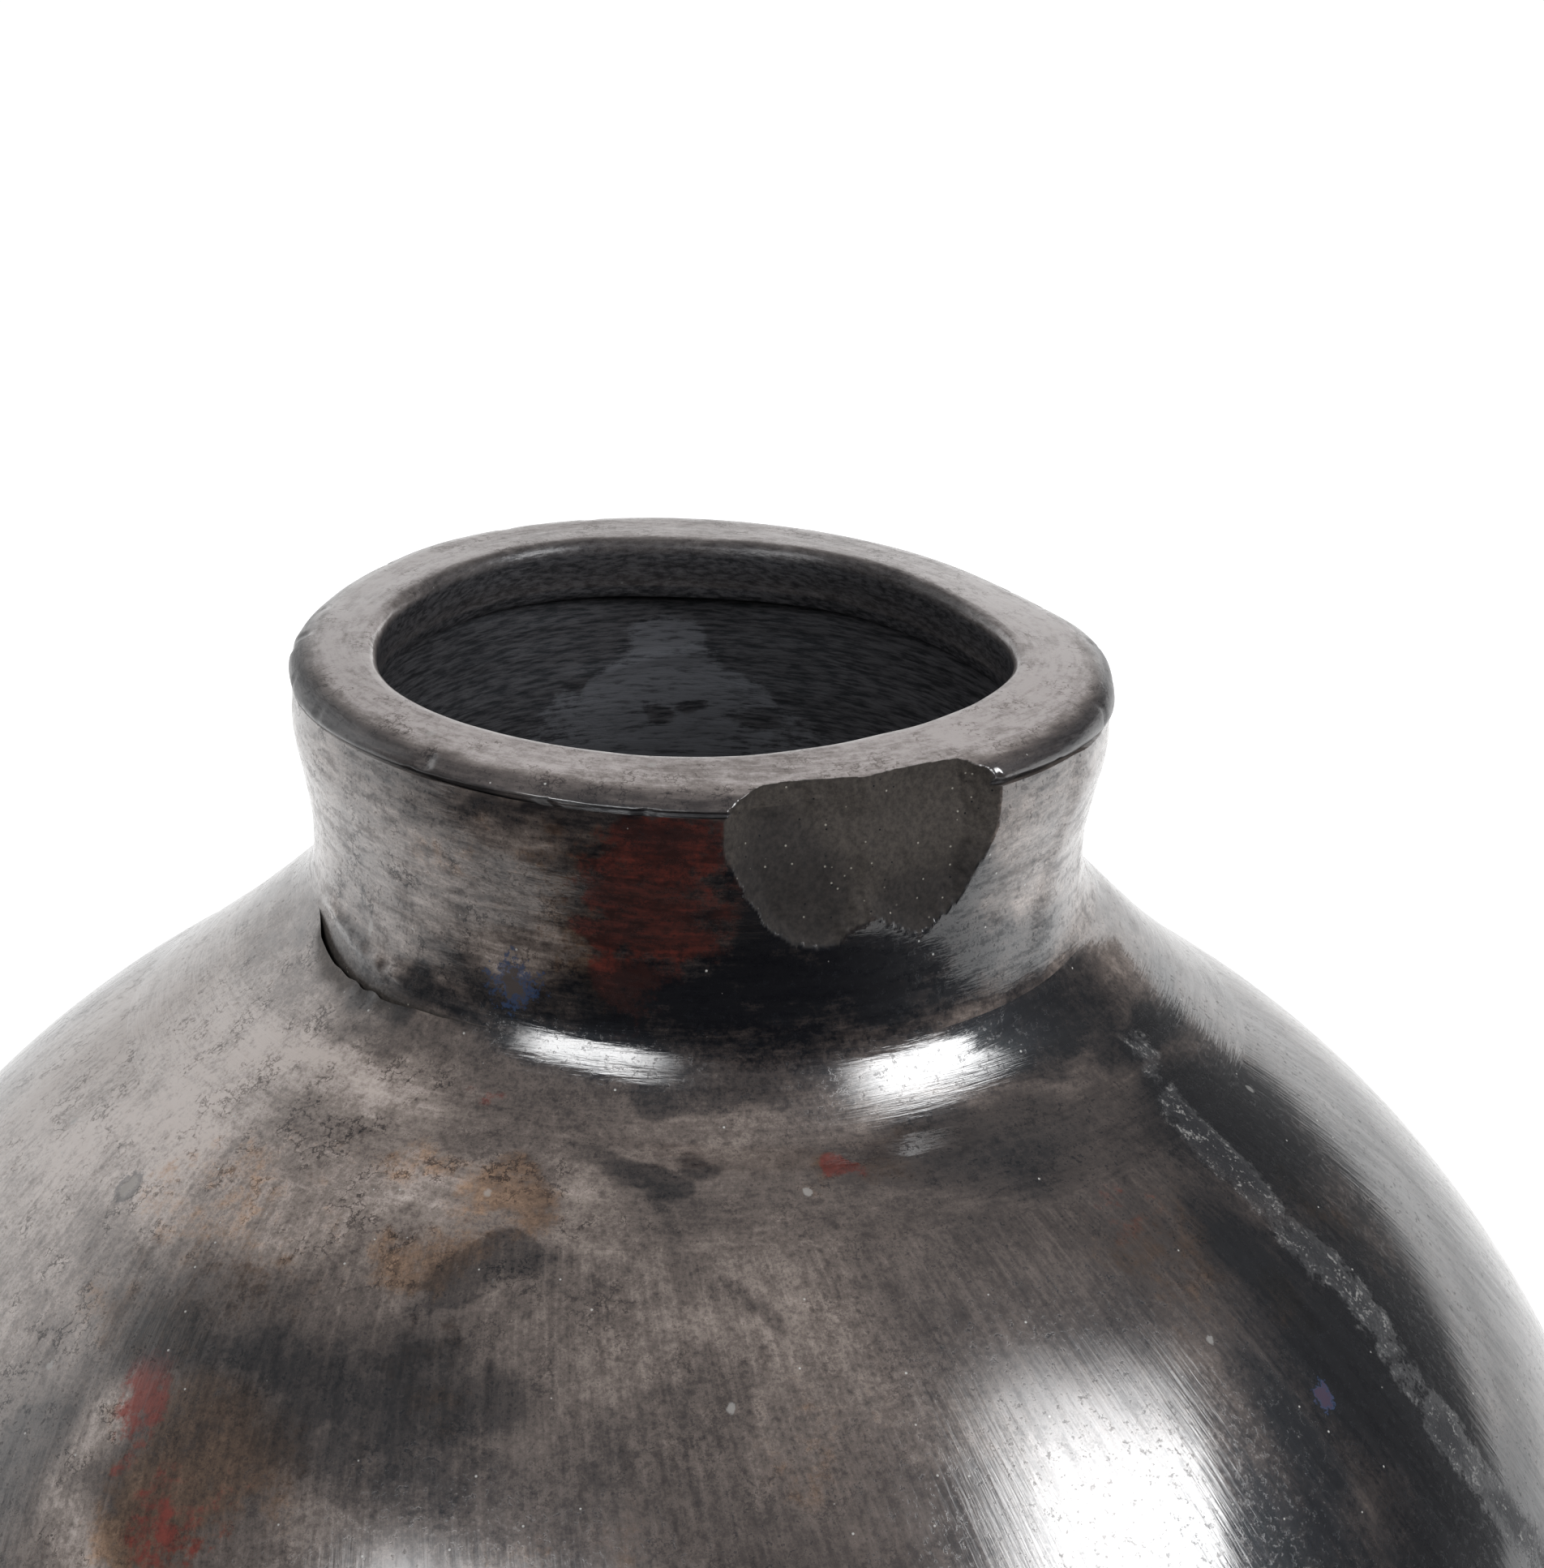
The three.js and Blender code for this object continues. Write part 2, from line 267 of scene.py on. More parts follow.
def scuff(bearing, height):
    """The rubbed band that runs down the right of the body."""
    tall, at, rub = np.array(SCUFF_LINE).T
    here = height / MM
    radius = np.interp(height, wall_line[:, 1], wall_line[:, 0])
    across = np.radians(turn_from(bearing, np.interp(here, tall, at))) * radius / MM
    across = np.abs(across + SCUFF_WANDER * lumps(bearing, height, *SCUFF_EDGE_BUMPS))
    low_end = eased(here, tall[0] - SCUFF_FADE_DOWN, tall[0])
    high_end = 1 - eased(here, tall[-1], tall[-1] + SCUFF_FADE_UP)
    patchy = SCUFF_RUB + SCUFF_PATCHINESS * lumps(bearing, height, *SCUFF_RUB_BUMPS)
    rubbed = np.interp(here, tall, rub) * patchy
    return low_end * high_end * rubbed * (1 - eased(across, *SCUFF_EDGE))


def body_skin(radius, height, bearing):
    """The burnished outside of the round body."""
    up = reach(height)
    swell = lumps(bearing, up, *BODY_BUMPS) * eased(height, 0, SWELL_FADE)
    radius = radius + LUMP_RISE * swell
    marks = {
        "pale": patches(bearing, height, PALE),
        "shade": patches(bearing, height, SHADE),
        "smoke": patches(bearing, height, SMOKE),
        "soot": patches(bearing, height, SOOT_MARKS),
        "russet": patches(bearing, height, RUSSET),
        "umber": patches(bearing, height, UMBER),
        "scuff": scuff(bearing, height),
        "raw": 1 - eased(height, *FOOT_RUB),
    }
    return radius, height, up, marks


def raw_skin(radius, height, bearing):
    """The inside, scraped and left as it was."""
    return radius, height, reach(height), {"raw": np.ones_like(height)}


def hidden(radius, height, bearing):
    """A face that lies in a joint."""
    return radius, height, reach(height), {"broken": np.ones_like(height)}


def upright(radius, height, bearing):
    """Points in the vase's own frame."""
    return np.stack([radius * np.cos(bearing), radius * np.sin(bearing), height], axis=-1)


def stretch(rows, touch, stand=upright, shows=True):
    """Part of a ring: a profile turned round the vase, with the end rows used for its normals only."""
    rows = np.asarray(rows, float)
    if rows.ndim == 2:
        rows = np.repeat(rows[:, :, None], len(BEARING), axis=2)
    bearing = np.broadcast_to(BEARING, rows[:, 0].shape)
    radius, height, up, marks = touch(rows[:, 0], rows[:, 1], bearing)
    place = stand(radius, height, bearing)
    wrap = np.stack([WRAP_RADIUS * np.cos(bearing), WRAP_RADIUS * np.sin(bearing), up], axis=-1)
    kept = slice(1, -1) if shows else slice(None)
    if shows:
        around = np.roll(place, -1, axis=1) - np.roll(place, 1, axis=1)
        normal = np.cross(around[1:-1], place[2:] - place[:-2])
        normal /= np.maximum(np.linalg.norm(normal, axis=-1, keepdims=True), 1e-12)
    else:
        normal = np.zeros_like(place)
    return {
        "place": place[kept],
        "normal": normal,
        "wrap": wrap[kept],
        "marks": {name: value[kept] for name, value in marks.items()},
    }


MARKS = ("pale", "shade", "smoke", "soot", "russet", "umber", "scuff", "raw", "sheen", "broken")


def clay_ring(node, stretches, material):
    """One closed piece whose profile runs up the outside, over the top and down the inside."""
    place = np.concatenate([part["place"] for part in stretches])
    normal = np.concatenate([part["normal"] for part in stretches])
    wrap = np.concatenate([part["wrap"] for part in stretches])
    rows, columns = place.shape[:2]
    on_axis = np.hypot(*place[0, 0, :2]) < 1e-9
    vertex = np.arange(rows * columns).reshape(rows, columns)
    row = np.arange(rows - 1 if on_axis else rows)[:, None]
    column = np.arange(columns)[None]
    above, beside = (row + 1) % rows, (column + 1) % columns
    corners = [vertex[row, column], vertex[row, beside], vertex[above, beside], vertex[above, column]]
    corners = np.stack(corners, axis=-1)
    mesh = bpy.data.meshes.new(node)
    mesh.from_pydata(place.reshape(-1, 3), [], corners.reshape(-1, 4))
    for mark in MARKS:
        value = np.concatenate(
            [part["marks"].get(mark, np.zeros(part["place"].shape[:2])) for part in stretches]
        )
        mesh.attributes.new(mark, "FLOAT", "POINT").data.foreach_set("value", value.ravel())
    mesh.attributes.new("wrap", "FLOAT_VECTOR", "POINT").data.foreach_set("vector", wrap.ravel())
    mesh.shade_smooth()
    loop_vertex = np.zeros(len(mesh.loops), np.int32)
    mesh.loops.foreach_get("vertex_index", loop_vertex)
    mesh.normals_split_custom_set(normal.reshape(-1, 3)[loop_vertex])
    mesh.materials.append(material)
    piece = bpy.data.objects.new(node + "_clay", mesh)
    bpy.context.scene.collection.objects.link(piece)
    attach(piece, "root")
    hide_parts(node)


class Recipe:
    """Nodes put into one node tree."""

    def __init__(self, tree):
        self.tree = tree

    def put(self, socket, value):
        """Links a socket to another one, or sets it to a plain value."""
        if isinstance(value, bpy.types.NodeSocket):
            self.tree.links.new(value, socket)
        else:
            socket.default_value = value

    def add(self, kind, inputs, **settings):
        """A new node with its settings and inputs."""
        node = self.tree.nodes.new("ShaderNode" + kind)
        for name, value in settings.items():
            setattr(node, name, value)
        for key, value in inputs.items():
            self.put(node.inputs[key], value)
        return node

    def math(self, operation, first, second=0.0, third=0.0):
        """One sum or comparison of up to three values."""
        return self.add("Math", {0: first, 1: second, 2: third}, operation=operation).outputs[0]

    def total(self, *values):
        """The sum of several values."""
        answer = values[0]
        for value in values[1:]:
            answer = self.math("ADD", answer, value)
        return answer

    def times(self, *values):
        """The product of several values."""
        answer = values[0]
        for value in values[1:]:
            answer = self.math("MULTIPLY", answer, value)
        return answer

    def centred(self, value, gain):
        """A noise's swing about its middle, times a gain."""
        return self.math("MULTIPLY_ADD", value, gain, -gain / 2)

    def ramp(self, value, low, high, start=0.0, end=1.0):
        """A smooth change from start to end as a value goes from low to high."""
        inputs = {"Value": value, "From Min": low, "From Max": high, "To Min": start, "To Max": end}
        return self.add("MapRange", inputs, interpolation_type="SMOOTHSTEP").outputs["Result"]

    def tones(self, value, stops):
        """Colours met one after another as a value rises: (value, colour)."""
        node = self.add("ValToRGB", {"Fac": value})
        elements = node.color_ramp.elements
        while len(elements) < len(stops):
            elements.new(1.0)
        for element, (at, colour) in zip(elements, stops):
            element.position = at
            element.color = colour
        return node.outputs["Color"]

    def mix(self, factor, first, second, blend="MIX"):
        """The first colour, with the second laid over it by a factor."""
        node = self.add("Mix", {}, data_type="RGBA", blend_type=blend)
        self.put(node.inputs[0], factor)
        self.put(node.inputs[6], first)
        self.put(node.inputs[7], second)
        return node.outputs[2]

    def mark(self, name):
        """A mark that was put on the mesh, by its name."""
        return self.add("Attribute", {}, attribute_name=name).outputs["Fac"]

    def wrap(self, scale, slant):
        """Distances round and up the vase, drawn out by a scale and slanted by a twist per metre."""
        place = self.add("Attribute", {}, attribute_name="wrap").outputs["Vector"]
        if slant:
            up = self.add("SeparateXYZ", {"Vector": place}).outputs["Z"]
            twist = self.times(up, slant)
            turned = self.add("VectorRotate", {"Vector": place, "Angle": twist}, rotation_type="Z_AXIS")
            place = turned.outputs[0]
        return self.add("Mapping", {"Vector": place, "Scale": scale}).outputs["Vector"]

    def place(self):
        """The place on the vase, in its own frame."""
        return self.add("TexCoord", {}).outputs["Object"]

    def noise(self, vector, size, detail, roughness):
        """Noise whose bumps are about one size apart."""
        inputs = {"Vector": vector, "Scale": 1 / size, "Detail": detail, "Roughness": roughness}
        return self.add("TexNoise", inputs).outputs["Fac"]

    def cells(self, vector, size):
        """Distance from the nearest of many scattered points, and a chance value for each point."""
        node = self.add("TexVoronoi", {"Vector": vector, "Scale": 1 / size}, feature="F1")
        chance = self.add("SeparateColor", {0: node.outputs["Color"]}).outputs[0]
        return node.outputs["Distance"], chance


# Colours that the clay takes from its darkest tone to its palest.
CLAY_TONES = [
    (0.00, (0.003, 0.003, 0.0045, 1)),
    (0.18, (0.019, 0.0152, 0.0150, 1)),
    (0.36, (0.053, 0.042, 0.038, 1)),
    (0.55, (0.117, 0.094, 0.083, 1)),
    (0.75, (0.240, 0.200, 0.178, 1)),
    (1.00, (0.530, 0.460, 0.425, 1)),
]
CLAY_TONE = 0.53
UMBER_TINT = (0.82, 0.63, 0.47, 1)
SOOT = (0.004, 0.004, 0.006, 1)
DARK_RED = (0.022, 0.008, 0.007, 1)
RED_EARTH = (0.215, 0.036, 0.023, 1)
# White of dust, also used for the painted glints in the scuffed band.
DUST_AND_GLINT_WHITE = (0.420, 0.415, 0.400, 1)
SCUFFED_GREY = (0.042, 0.042, 0.045, 1)
RAW_BLACK = (0.008, 0.008, 0.009, 1)
RAW_GREY = (0.042, 0.041, 0.044, 1)
# Painted light on the back of the neck's inside, as a lighter bluish colour.
LIT_PATCH_BLUE = (0.074, 0.076, 0.084, 1)
BROKEN_GREY = (0.064, 0.055, 0.048, 1)
BROKEN_DARK = (0.032, 0.028, 0.025, 1)
SAND = (0.260, 0.245, 0.215, 1)
CLAY_IOR = 1.3
GLOSS_IOR = 1.92
GLOSS_ROUGHNESS = 0.09
COOL_SHEEN = (0.78, 0.88, 1, 1)

# Noises in the clay: size, detail and roughness.
DRIFT = (12 * MM, 8, 0.68)
WAVES = (6 * MM, 1, 0.5)
MOTTLE = (2.0 * MM, 7, 0.76)
SPECKS = (0.7 * MM, 5, 0.76)
BANDS = (2.6 * MM, 5, 0.6)
STREAKS = (1.0 * MM, 5, 0.66)
STROKES = (0.45 * MM, 3, 0.6)
VEINS = (1.7 * MM, 4, 0.65)
CRAZED_PLACES = (4 * MM, 4, 0.6)
CRACKLE_AND_GLINTS = (0.4 * MM, 3, 0.8)
SCRAPE = (0.34 * MM, 4, 0.65)
CRUMBS = (0.5 * MM, 4, 0.7)
STREAK_LOOSENESS = 0.7
DUST_SPACING = 2.4 * MM
DUST_FLAKE_SPACING = 7 * MM
DUST_FLAKE_DRAWN = (1, 1, 0.5)
SAND_SPACING = 0.6 * MM

# Heights of the skin's relief, in hundredths of a millimetre.
RELIEF = 0.01 * MM
POLISH_WAVES = 4.0
PIT_DEPTH = 0.3
SCUFF_RISE = 5.0
SCRAPE_RISE = 9.0
CRUMB_RISE = 4.0
BREAK_WAVES = 12.0


class Clay(Recipe):
    """A recipe with the grain, strokes, pits and crazing that every layer of the clay shares."""

    def __init__(self, tree, stroke, slant, speckle, smear):
        super().__init__(tree)
        self.smear = smear
        self.spot = self.place()
        drawn = self.wrap(stroke, slant)
        loosely_drawn = self.wrap([scale**STREAK_LOOSENESS for scale in stroke], slant)
        self.drift = self.noise(self.spot, *DRIFT)
        self.waves = self.noise(self.spot, *WAVES)
        self.mottle = self.noise(self.spot, *MOTTLE)
        self.specks = self.noise(self.spot, *SPECKS)
        self.bands = self.noise(drawn, *BANDS)
        self.streaks = self.noise(loosely_drawn, *STREAKS)
        self.strokes = self.noise(drawn, *STROKES)
        self.pits = self.times(self.ramp(self.specks, 0.57, 0.63), speckle)
        self.crazed = self.crazing(speckle)
        self.fray = self.total(
            self.centred(self.drift, 1.6),
            self.centred(self.mottle, 1.5),
            self.centred(self.bands, smear),
        )

    def crazing(self, speckle):
        """Fine dark lines in some places, more of them where the clay is pale."""
        veins = self.math("ABSOLUTE", self.centred(self.noise(self.spot, *VEINS), 1.0))
        lines = self.ramp(veins, 0.010, 0.034, 1.0, 0.0)
        places = self.ramp(self.noise(self.spot, *CRAZED_PLACES), 0.50, 0.60)
        amount = self.ramp(self.mark("pale"), 0.0, 0.5, 0.35, 1.0)
        return self.times(lines, places, speckle, amount)

    def cloud(self, mark, fringe, low, high, most):
        """A marked cloud with an edge frayed by the grain, up to a greatest strength."""
        frayed = self.total(self.mark(mark), self.times(self.fray, fringe))
        shape = self.ramp(frayed, low, high, 0.0, most)
        return self.times(shape, self.ramp(self.mark(mark), 0.03, 0.30))


def fired_colour(clay, grit, tint):
    """Smoke-fired clay: grainy grey-brown with pale, dark, brown and red clouds, darker with painted
    shade where the shade mark lies and paler with painted light where the pale mark carries it.
    """
    grain = clay.total(
        clay.centred(clay.drift, 0.8), clay.centred(clay.mottle, 0.65), clay.centred(clay.specks, 0.9)
    )
    tone = clay.total(
        CLAY_TONE,
        clay.times(grain, clay.ramp(clay.mark("shade"), 0.0, 1.0, grit, 0.6 * grit)),
        clay.centred(clay.streaks, 0.9 * clay.smear),
        clay.centred(clay.strokes, 0.6 * clay.smear),
        clay.times(clay.pits, -0.3),
        clay.times(clay.crazed, -0.38),
        # The pale mark: the clay's pale tone, and partly painted light on the left shoulder and the
        # lip's sides.
        clay.times(clay.mark("pale"), 0.42),
        # Painted shade: the shade mark darkens the clay.
        clay.times(clay.mark("shade"), -0.17),
        clay.cloud("smoke", 1.3, 0.15, 0.75, -0.31),
        clay.times(clay.mark("soot"), -0.62),
    )
    colour = clay.mix(1.0, clay.tones(tone, CLAY_TONES), tint, "MULTIPLY")
    colour = clay.mix(clay.cloud("umber", 1.3, 0.30, 0.85, 1.0), colour, UMBER_TINT, "MULTIPLY")
    red = clay.mix(clay.ramp(tone, 0.03, 0.95), DARK_RED, RED_EARTH)
    return clay.mix(clay.cloud("russet", 1.7, 0.22, 0.78, 0.97), colour, red)


def spotted(clay, colour, spots):
    """Small ragged spots: (middle, size, raggedness, colour at the edge, colour in the middle)."""
    for middle, size, rag, edge_colour, middle_colour in spots:
        gap = clay.add("VectorMath", {0: clay.spot, 1: middle}, operation="DISTANCE").outputs["Value"]
        gap = clay.total(
            gap, clay.centred(clay.mottle, rag * size), clay.centred(clay.specks, 0.6 * rag * size)
        )
        colour = clay.mix(clay.ramp(gap, 0.9 * size, 1.2 * size, 0.7, 0.0), colour, edge_colour)
        colour = clay.mix(clay.ramp(gap, 0.50 * size, 0.75 * size, 0.7, 0.0), colour, middle_colour)
    return colour


def dust_grains(clay):
    """Where grains and small flakes of dust stick to the skin."""
    away, chance = clay.cells(clay.spot, DUST_SPACING)
    grains = clay.times(clay.ramp(away, 0.035, 0.060, 1.0, 0.0), clay.ramp(chance, 0.4, 0.42))
    drawn = clay.add("Mapping", {"Vector": clay.spot, "Scale": DUST_FLAKE_DRAWN}).outputs[0]
    away, chance = clay.cells(drawn, DUST_FLAKE_SPACING)
    away = clay.total(away, clay.centred(clay.specks, 0.12))
    flakes = clay.times(clay.ramp(away, 0.045, 0.075, 1.0, 0.0), clay.ramp(chance, 0.5, 0.52, 0.0, 0.45))
    return clay.math("MAXIMUM", grains, flakes)


def scraped_colour(clay, scrape, sheen):
    """The raw inside: dark grey scraped streaks, with painted light where it has a sheen, a lighter
    bluish colour.
    """
    colour = clay.mix(clay.ramp(scrape, 0.35, 0.65), RAW_BLACK, RAW_GREY)
    return clay.mix(clay.times(sheen, clay.ramp(scrape, 0.3, 0.55, 0.35, 1.0)), colour, LIT_PATCH_BLUE)


def broken_colour(clay, crumbs):
    """Broken clay: grey crumbs with light and dark grains of sand, darker where the soot mark reaches
    the break, as painted shade on its lower part.
    """
    away, chance = clay.cells(clay.spot, SAND_SPACING)
    near = clay.ramp(away, 0.10, 0.22, 1.0, 0.0)
    colour = clay.mix(clay.ramp(crumbs, 0.3, 0.7), BROKEN_DARK, BROKEN_GREY)
    # Painted shade: the break is darker towards its lower part, where the soot mark reaches it.
    colour = clay.mix(clay.ramp(clay.mark("soot"), 0.2, 1.0, 0.0, 0.45), colour, SOOT)
    colour = clay.mix(clay.times(near, clay.ramp(chance, 0.88, 0.89)), colour, SAND)
    return clay.mix(clay.times(near, clay.ramp(chance, 0.09, 0.08)), colour, SOOT)


def burnished_clay(
    name, stroke, slant, speckle, smear,
    burnish=1.8, grit=1.0, scrape_drawn=(0.03, 0.03, 1.0), spots=(), tint=(1, 1, 1, 1),
):
    """Clay with soot clouds, burnishing strokes, specks and, where marked, raw or broken skin."""
    material = bpy.data.materials.new(name)
    material.use_nodes = True
    clay = Clay(material.node_tree, stroke, slant, speckle, smear)
    raw = clay.mark("raw")
    broken = clay.mark("broken")
    dust = dust_grains(clay)
    rubbed = clay.mark("scuff")
    scuffed = clay.ramp(clay.total(rubbed, clay.centred(clay.mottle, 2.4)), 0.15, 0.95)
    scuffed = clay.times(scuffed, clay.ramp(rubbed, 0.03, 0.30))
    crackle_and_glints = clay.total(clay.noise(clay.spot, *CRACKLE_AND_GLINTS), clay.centred(clay.mottle, 1.3))
    scrape = clay.noise(clay.wrap(scrape_drawn, slant), *SCRAPE)
    # Painted light inside the neck where the sheen mark lies, with a ragged edge; the clay is also
    # smoother there.
    sheen = clay.total(clay.mark("sheen"), clay.centred(clay.mottle, 1.4), clay.centred(scrape, 1.2))
    sheen = clay.ramp(sheen, 0.3, 0.9)
    crumbs = clay.noise(clay.spot, *CRUMBS)

    colour = spotted(clay, fired_colour(clay, grit, tint), spots)
    colour = clay.mix(dust, colour, DUST_AND_GLINT_WHITE)
    colour = clay.mix(clay.times(scuffed, 0.55), colour, SCUFFED_GREY)
    # Painted glints: white specks in the scuffed band, where its grains catch the light.
    colour = clay.mix(clay.times(scuffed, clay.ramp(crackle_and_glints, 0.60, 0.70, 0.0, 0.5)), colour, DUST_AND_GLINT_WHITE)
    colour = clay.mix(raw, colour, scraped_colour(clay, scrape, sheen))
    colour = clay.mix(broken, colour, broken_colour(clay, crumbs))

    rough = clay.ramp(clay.bands, 0.3, 0.7, 0.28, 0.38)
    rough = clay.total(rough, clay.ramp(clay.strokes, 0.45, 0.75, 0.0, 0.08), clay.times(clay.pits, 0.2))
    raw_rough = clay.times(raw, clay.math("MULTIPLY_ADD", sheen, -0.2, 0.58))
    for rougher in (clay.times(dust, 0.7), raw_rough, clay.times(broken, 0.9)):
        rough = clay.math("MAXIMUM", rough, rougher)

    smooth = clay.math("SUBTRACT", 1.0, clay.math("MAXIMUM", raw, broken))
    polish = clay.total(
        clay.times(clay.strokes, burnish),
        clay.times(clay.waves, POLISH_WAVES),
        clay.times(clay.pits, -PIT_DEPTH),
    )
    crumbled = clay.total(clay.times(crumbs, CRUMB_RISE), clay.times(clay.waves, BREAK_WAVES))
    height = clay.total(
        clay.times(polish, smooth),
        clay.times(scuffed, crackle_and_glints, SCUFF_RISE),
        clay.times(raw, scrape, SCRAPE_RISE),
        clay.times(broken, crumbled),
    )
    bump = clay.add("Bump", {"Height": height, "Strength": 1.0, "Distance": RELIEF}).outputs["Normal"]

    wear = clay.total(clay.centred(clay.streaks, 1.0), clay.centred(clay.specks, 0.7))
    gloss = clay.times(
        clay.math("MULTIPLY_ADD", clay.math("MAXIMUM", clay.pits, clay.crazed), -0.6, 1.0),
        smooth,
        clay.math("SUBTRACT", 1.0, scuffed),
        clay.ramp(wear, -0.14, 0.02, 1 - 0.6 * smear, 1.0),
    )
    finish = {
        "Base Color": colour,
        "Roughness": rough,
        "Normal": bump,
        "Coat Weight": gloss,
        "Coat Normal": bump,
        "Coat Roughness": GLOSS_ROUGHNESS,
        "Coat IOR": GLOSS_IOR,
        "IOR": CLAY_IOR,
        "Specular Tint": COOL_SHEEN,
    }
    shader = material.node_tree.nodes["Principled BSDF"]
    for socket, value in finish.items():
        clay.put(shader.inputs[socket], value)
    return material


foot_clay = burnished_clay("foot_clay", stroke=(1.0, 1.0, 0.07), slant=0.0, speckle=0.8, smear=0.5)

UNDERSIDE_POINTS = 16
FLOOR_POINTS = 12
CORNER_POINTS = 7
FLOOR_CORNER_PULL = 0.5 * MM
PAST_AXIS = -1 * MM


def rounded(start, corner, end):
    """Points of a rounded corner, without its two ends."""
    t = np.linspace(0, 1, CORNER_POINTS)[1:-1, None]
    return (1 - t) ** 2 * start + 2 * t * (1 - t) * corner + t**2 * end


def foot_profile():
    """The underside, edge and start of the wall, then the floor, each from or to just past the axis."""
    wall = wall_run(FOOT_EDGE_ROUND, FOOT_RISE, OUTSIDE_STEP)[1:]
    flat_radius = np.linspace(0, FOOT_RADIUS - FOOT_EDGE_ROUND, UNDERSIDE_POINTS)
    flat = np.stack([flat_radius, np.zeros(UNDERSIDE_POINTS)], axis=1)
    edge = rounded(flat[-1], np.array([FOOT_RADIUS, 0]), wall[0])
    outside = np.vstack([(PAST_AXIS, 0), flat, edge, wall])
    inside_wall = wall_point(np.linspace(FOOT_RISE - LAP + MM, FOOT_RISE - LAP, 2), WALL)
    inner_radius = inside_wall[-1, 0]
    floor_edge = np.array([inner_radius - FLOOR_CORNER, FLOOR])
    hollow = rounded(inside_wall[-1], np.array([inner_radius - FLOOR_CORNER_PULL, FLOOR]), floor_edge)
    floor_radius = np.linspace(floor_edge[0], 0, FLOOR_POINTS)
    floor = np.stack([floor_radius, np.full(FLOOR_POINTS, FLOOR)], axis=1)
    inside = np.vstack([inside_wall, hollow, floor, (PAST_AXIS, FLOOR)])
    return outside, inside


outside, inside = foot_profile()
clay_ring(
    "foot_disc", [stretch(outside, body_skin), stretch(inside, raw_skin)], foot_clay
)

# Wall coils: flattened coils of clay, each lapped on the one below, that raise the round body.
# Their seams were smoothed away and the wall burnished with a stone, stroke beside stroke, before
# the fire left its clouds of soot, brown and red on it.
COIL_COUNT = 8
TOE_REACH = 19 * MM
TOE_APPROACH = 4 * MM
ROWS_PAST_TOE = 4
NECK_HEIGHT = 29.4 * MM
RIM_HEIGHT = opening_height + NECK_HEIGHT
NECK_STEP = 0.3 * MM
GROOVE_RADIUS = 38.3
TRIMMED_INNER_RADIUS = 31.7 * MM
BED_RADIUS = OPENING_RADIUS + 0.3 * MM
COIL_BED_DROP = 3.2 * MM
LOW_SIDE = -65
LOW_SPREAD_LEFT = 60
LOW_SPREAD_RIGHT = 42
# Stations up the neck: radius and drop under the rim at the sides, then at the low front.
NECK_STATIONS = [
    (46.8, 33.0, 46.8, 34.6), (43.2, 29.7, 44.6, 33.7), (40.3, 26.9, 42.8, 33.0),
    (38.4, 25.0, 41.1, 31.6), (36.9, 22.6, 39.3, 29.4), (36.3, 20.0, 37.6, 25.8),
    (36.5, 16.5, 36.5, 17.5), (37.3, 12.5, 37.3, 12.5), (38.3, 8.0, 38.3, 8.0),
]
# The groove under the lip: bearing and drop under the rim.
GROOVE = [
    (-90, 2.9), (-122, 3.1), (-155, 3.7), (-177, 4.3), (100, 4.6), (0, 5.0), (-22, 3.9), (-45, 3.3),
]


def under_rim(radius, drop):
    """A profile point by its radius and how far it lies under the rim, in millimetres."""
    return np.array([radius * MM, RIM_HEIGHT - drop * MM])


def with_ends(points):
    """A line with one more point beyond each end."""
    return np.concatenate([[2 * points[0] - points[1]], points, [2 * points[-1] - points[-2]]])


def smooth_line(points, step):
    """A smooth line through a few points, with points about a step apart."""
    points = np.asarray(points)
    padded = with_ends(points)
    line = []
    for a, b, c, d in zip(padded, padded[1:], padded[2:], padded[3:]):
        length = np.max(np.hypot(c[0] - b[0], c[1] - b[1]))
        t = np.linspace(0, 1, max(2, round(length / step)), endpoint=False)
        t = t.reshape(-1, *[1] * b.ndim)
        curve = 2 * b + (c - a) * t
        curve = curve + (2 * a - 5 * b + 4 * c - d) * t**2
        curve = curve + (3 * b - a - 3 * c + d) * t**3
        line.append(curve / 2)
    return np.concatenate([*line, points[-1:]])


def by_bearing(stations):
    """Values round the vase, smooth through a few stations of bearing and value."""
    at, value = np.array(sorted(stations), float).T
    at = np.r_[at[-2:] - 360, at, at[:2] + 360]
    value = np.r_[value[-2:], value, value[:2]]
    slope = np.gradient(value, at)
    bearing = turn_from(BEARING, 0)
    before = np.clip(np.searchsorted(at, bearing) - 1, 0, len(at) - 2)
    after = before + 1
    span = at[after] - at[before]
    t = (bearing - at[before]) / span
    return (
        (1 + 2 * t) * (1 - t) ** 2 * value[before] + t * (1 - t) ** 2 * span * slope[before]
        + t**2 * (3 - 2 * t) * value[after] + t**2 * (t - 1) * span * slope[after]
    )


def neck_points():
    """The neck's outside at every bearing, from the shoulder to the groove under the lip."""
    aside = turn_from(BEARING, LOW_SIDE)
    front = np.exp(-((aside / np.where(aside < 0, LOW_SPREAD_LEFT, LOW_SPREAD_RIGHT)) ** 2))
    points = [np.outer(place, np.ones_like(front)) for place in (below_toe, toe)]
    for side_radius, side_drop, front_radius, front_drop in NECK_STATIONS:
        radius = side_radius + (front_radius - side_radius) * front
        drop = side_drop + (front_drop - side_drop) * front
        points.append(under_rim(radius, drop))
    points.append(under_rim(np.full_like(groove, GROOVE_RADIUS), groove))
    return np.stack(points)


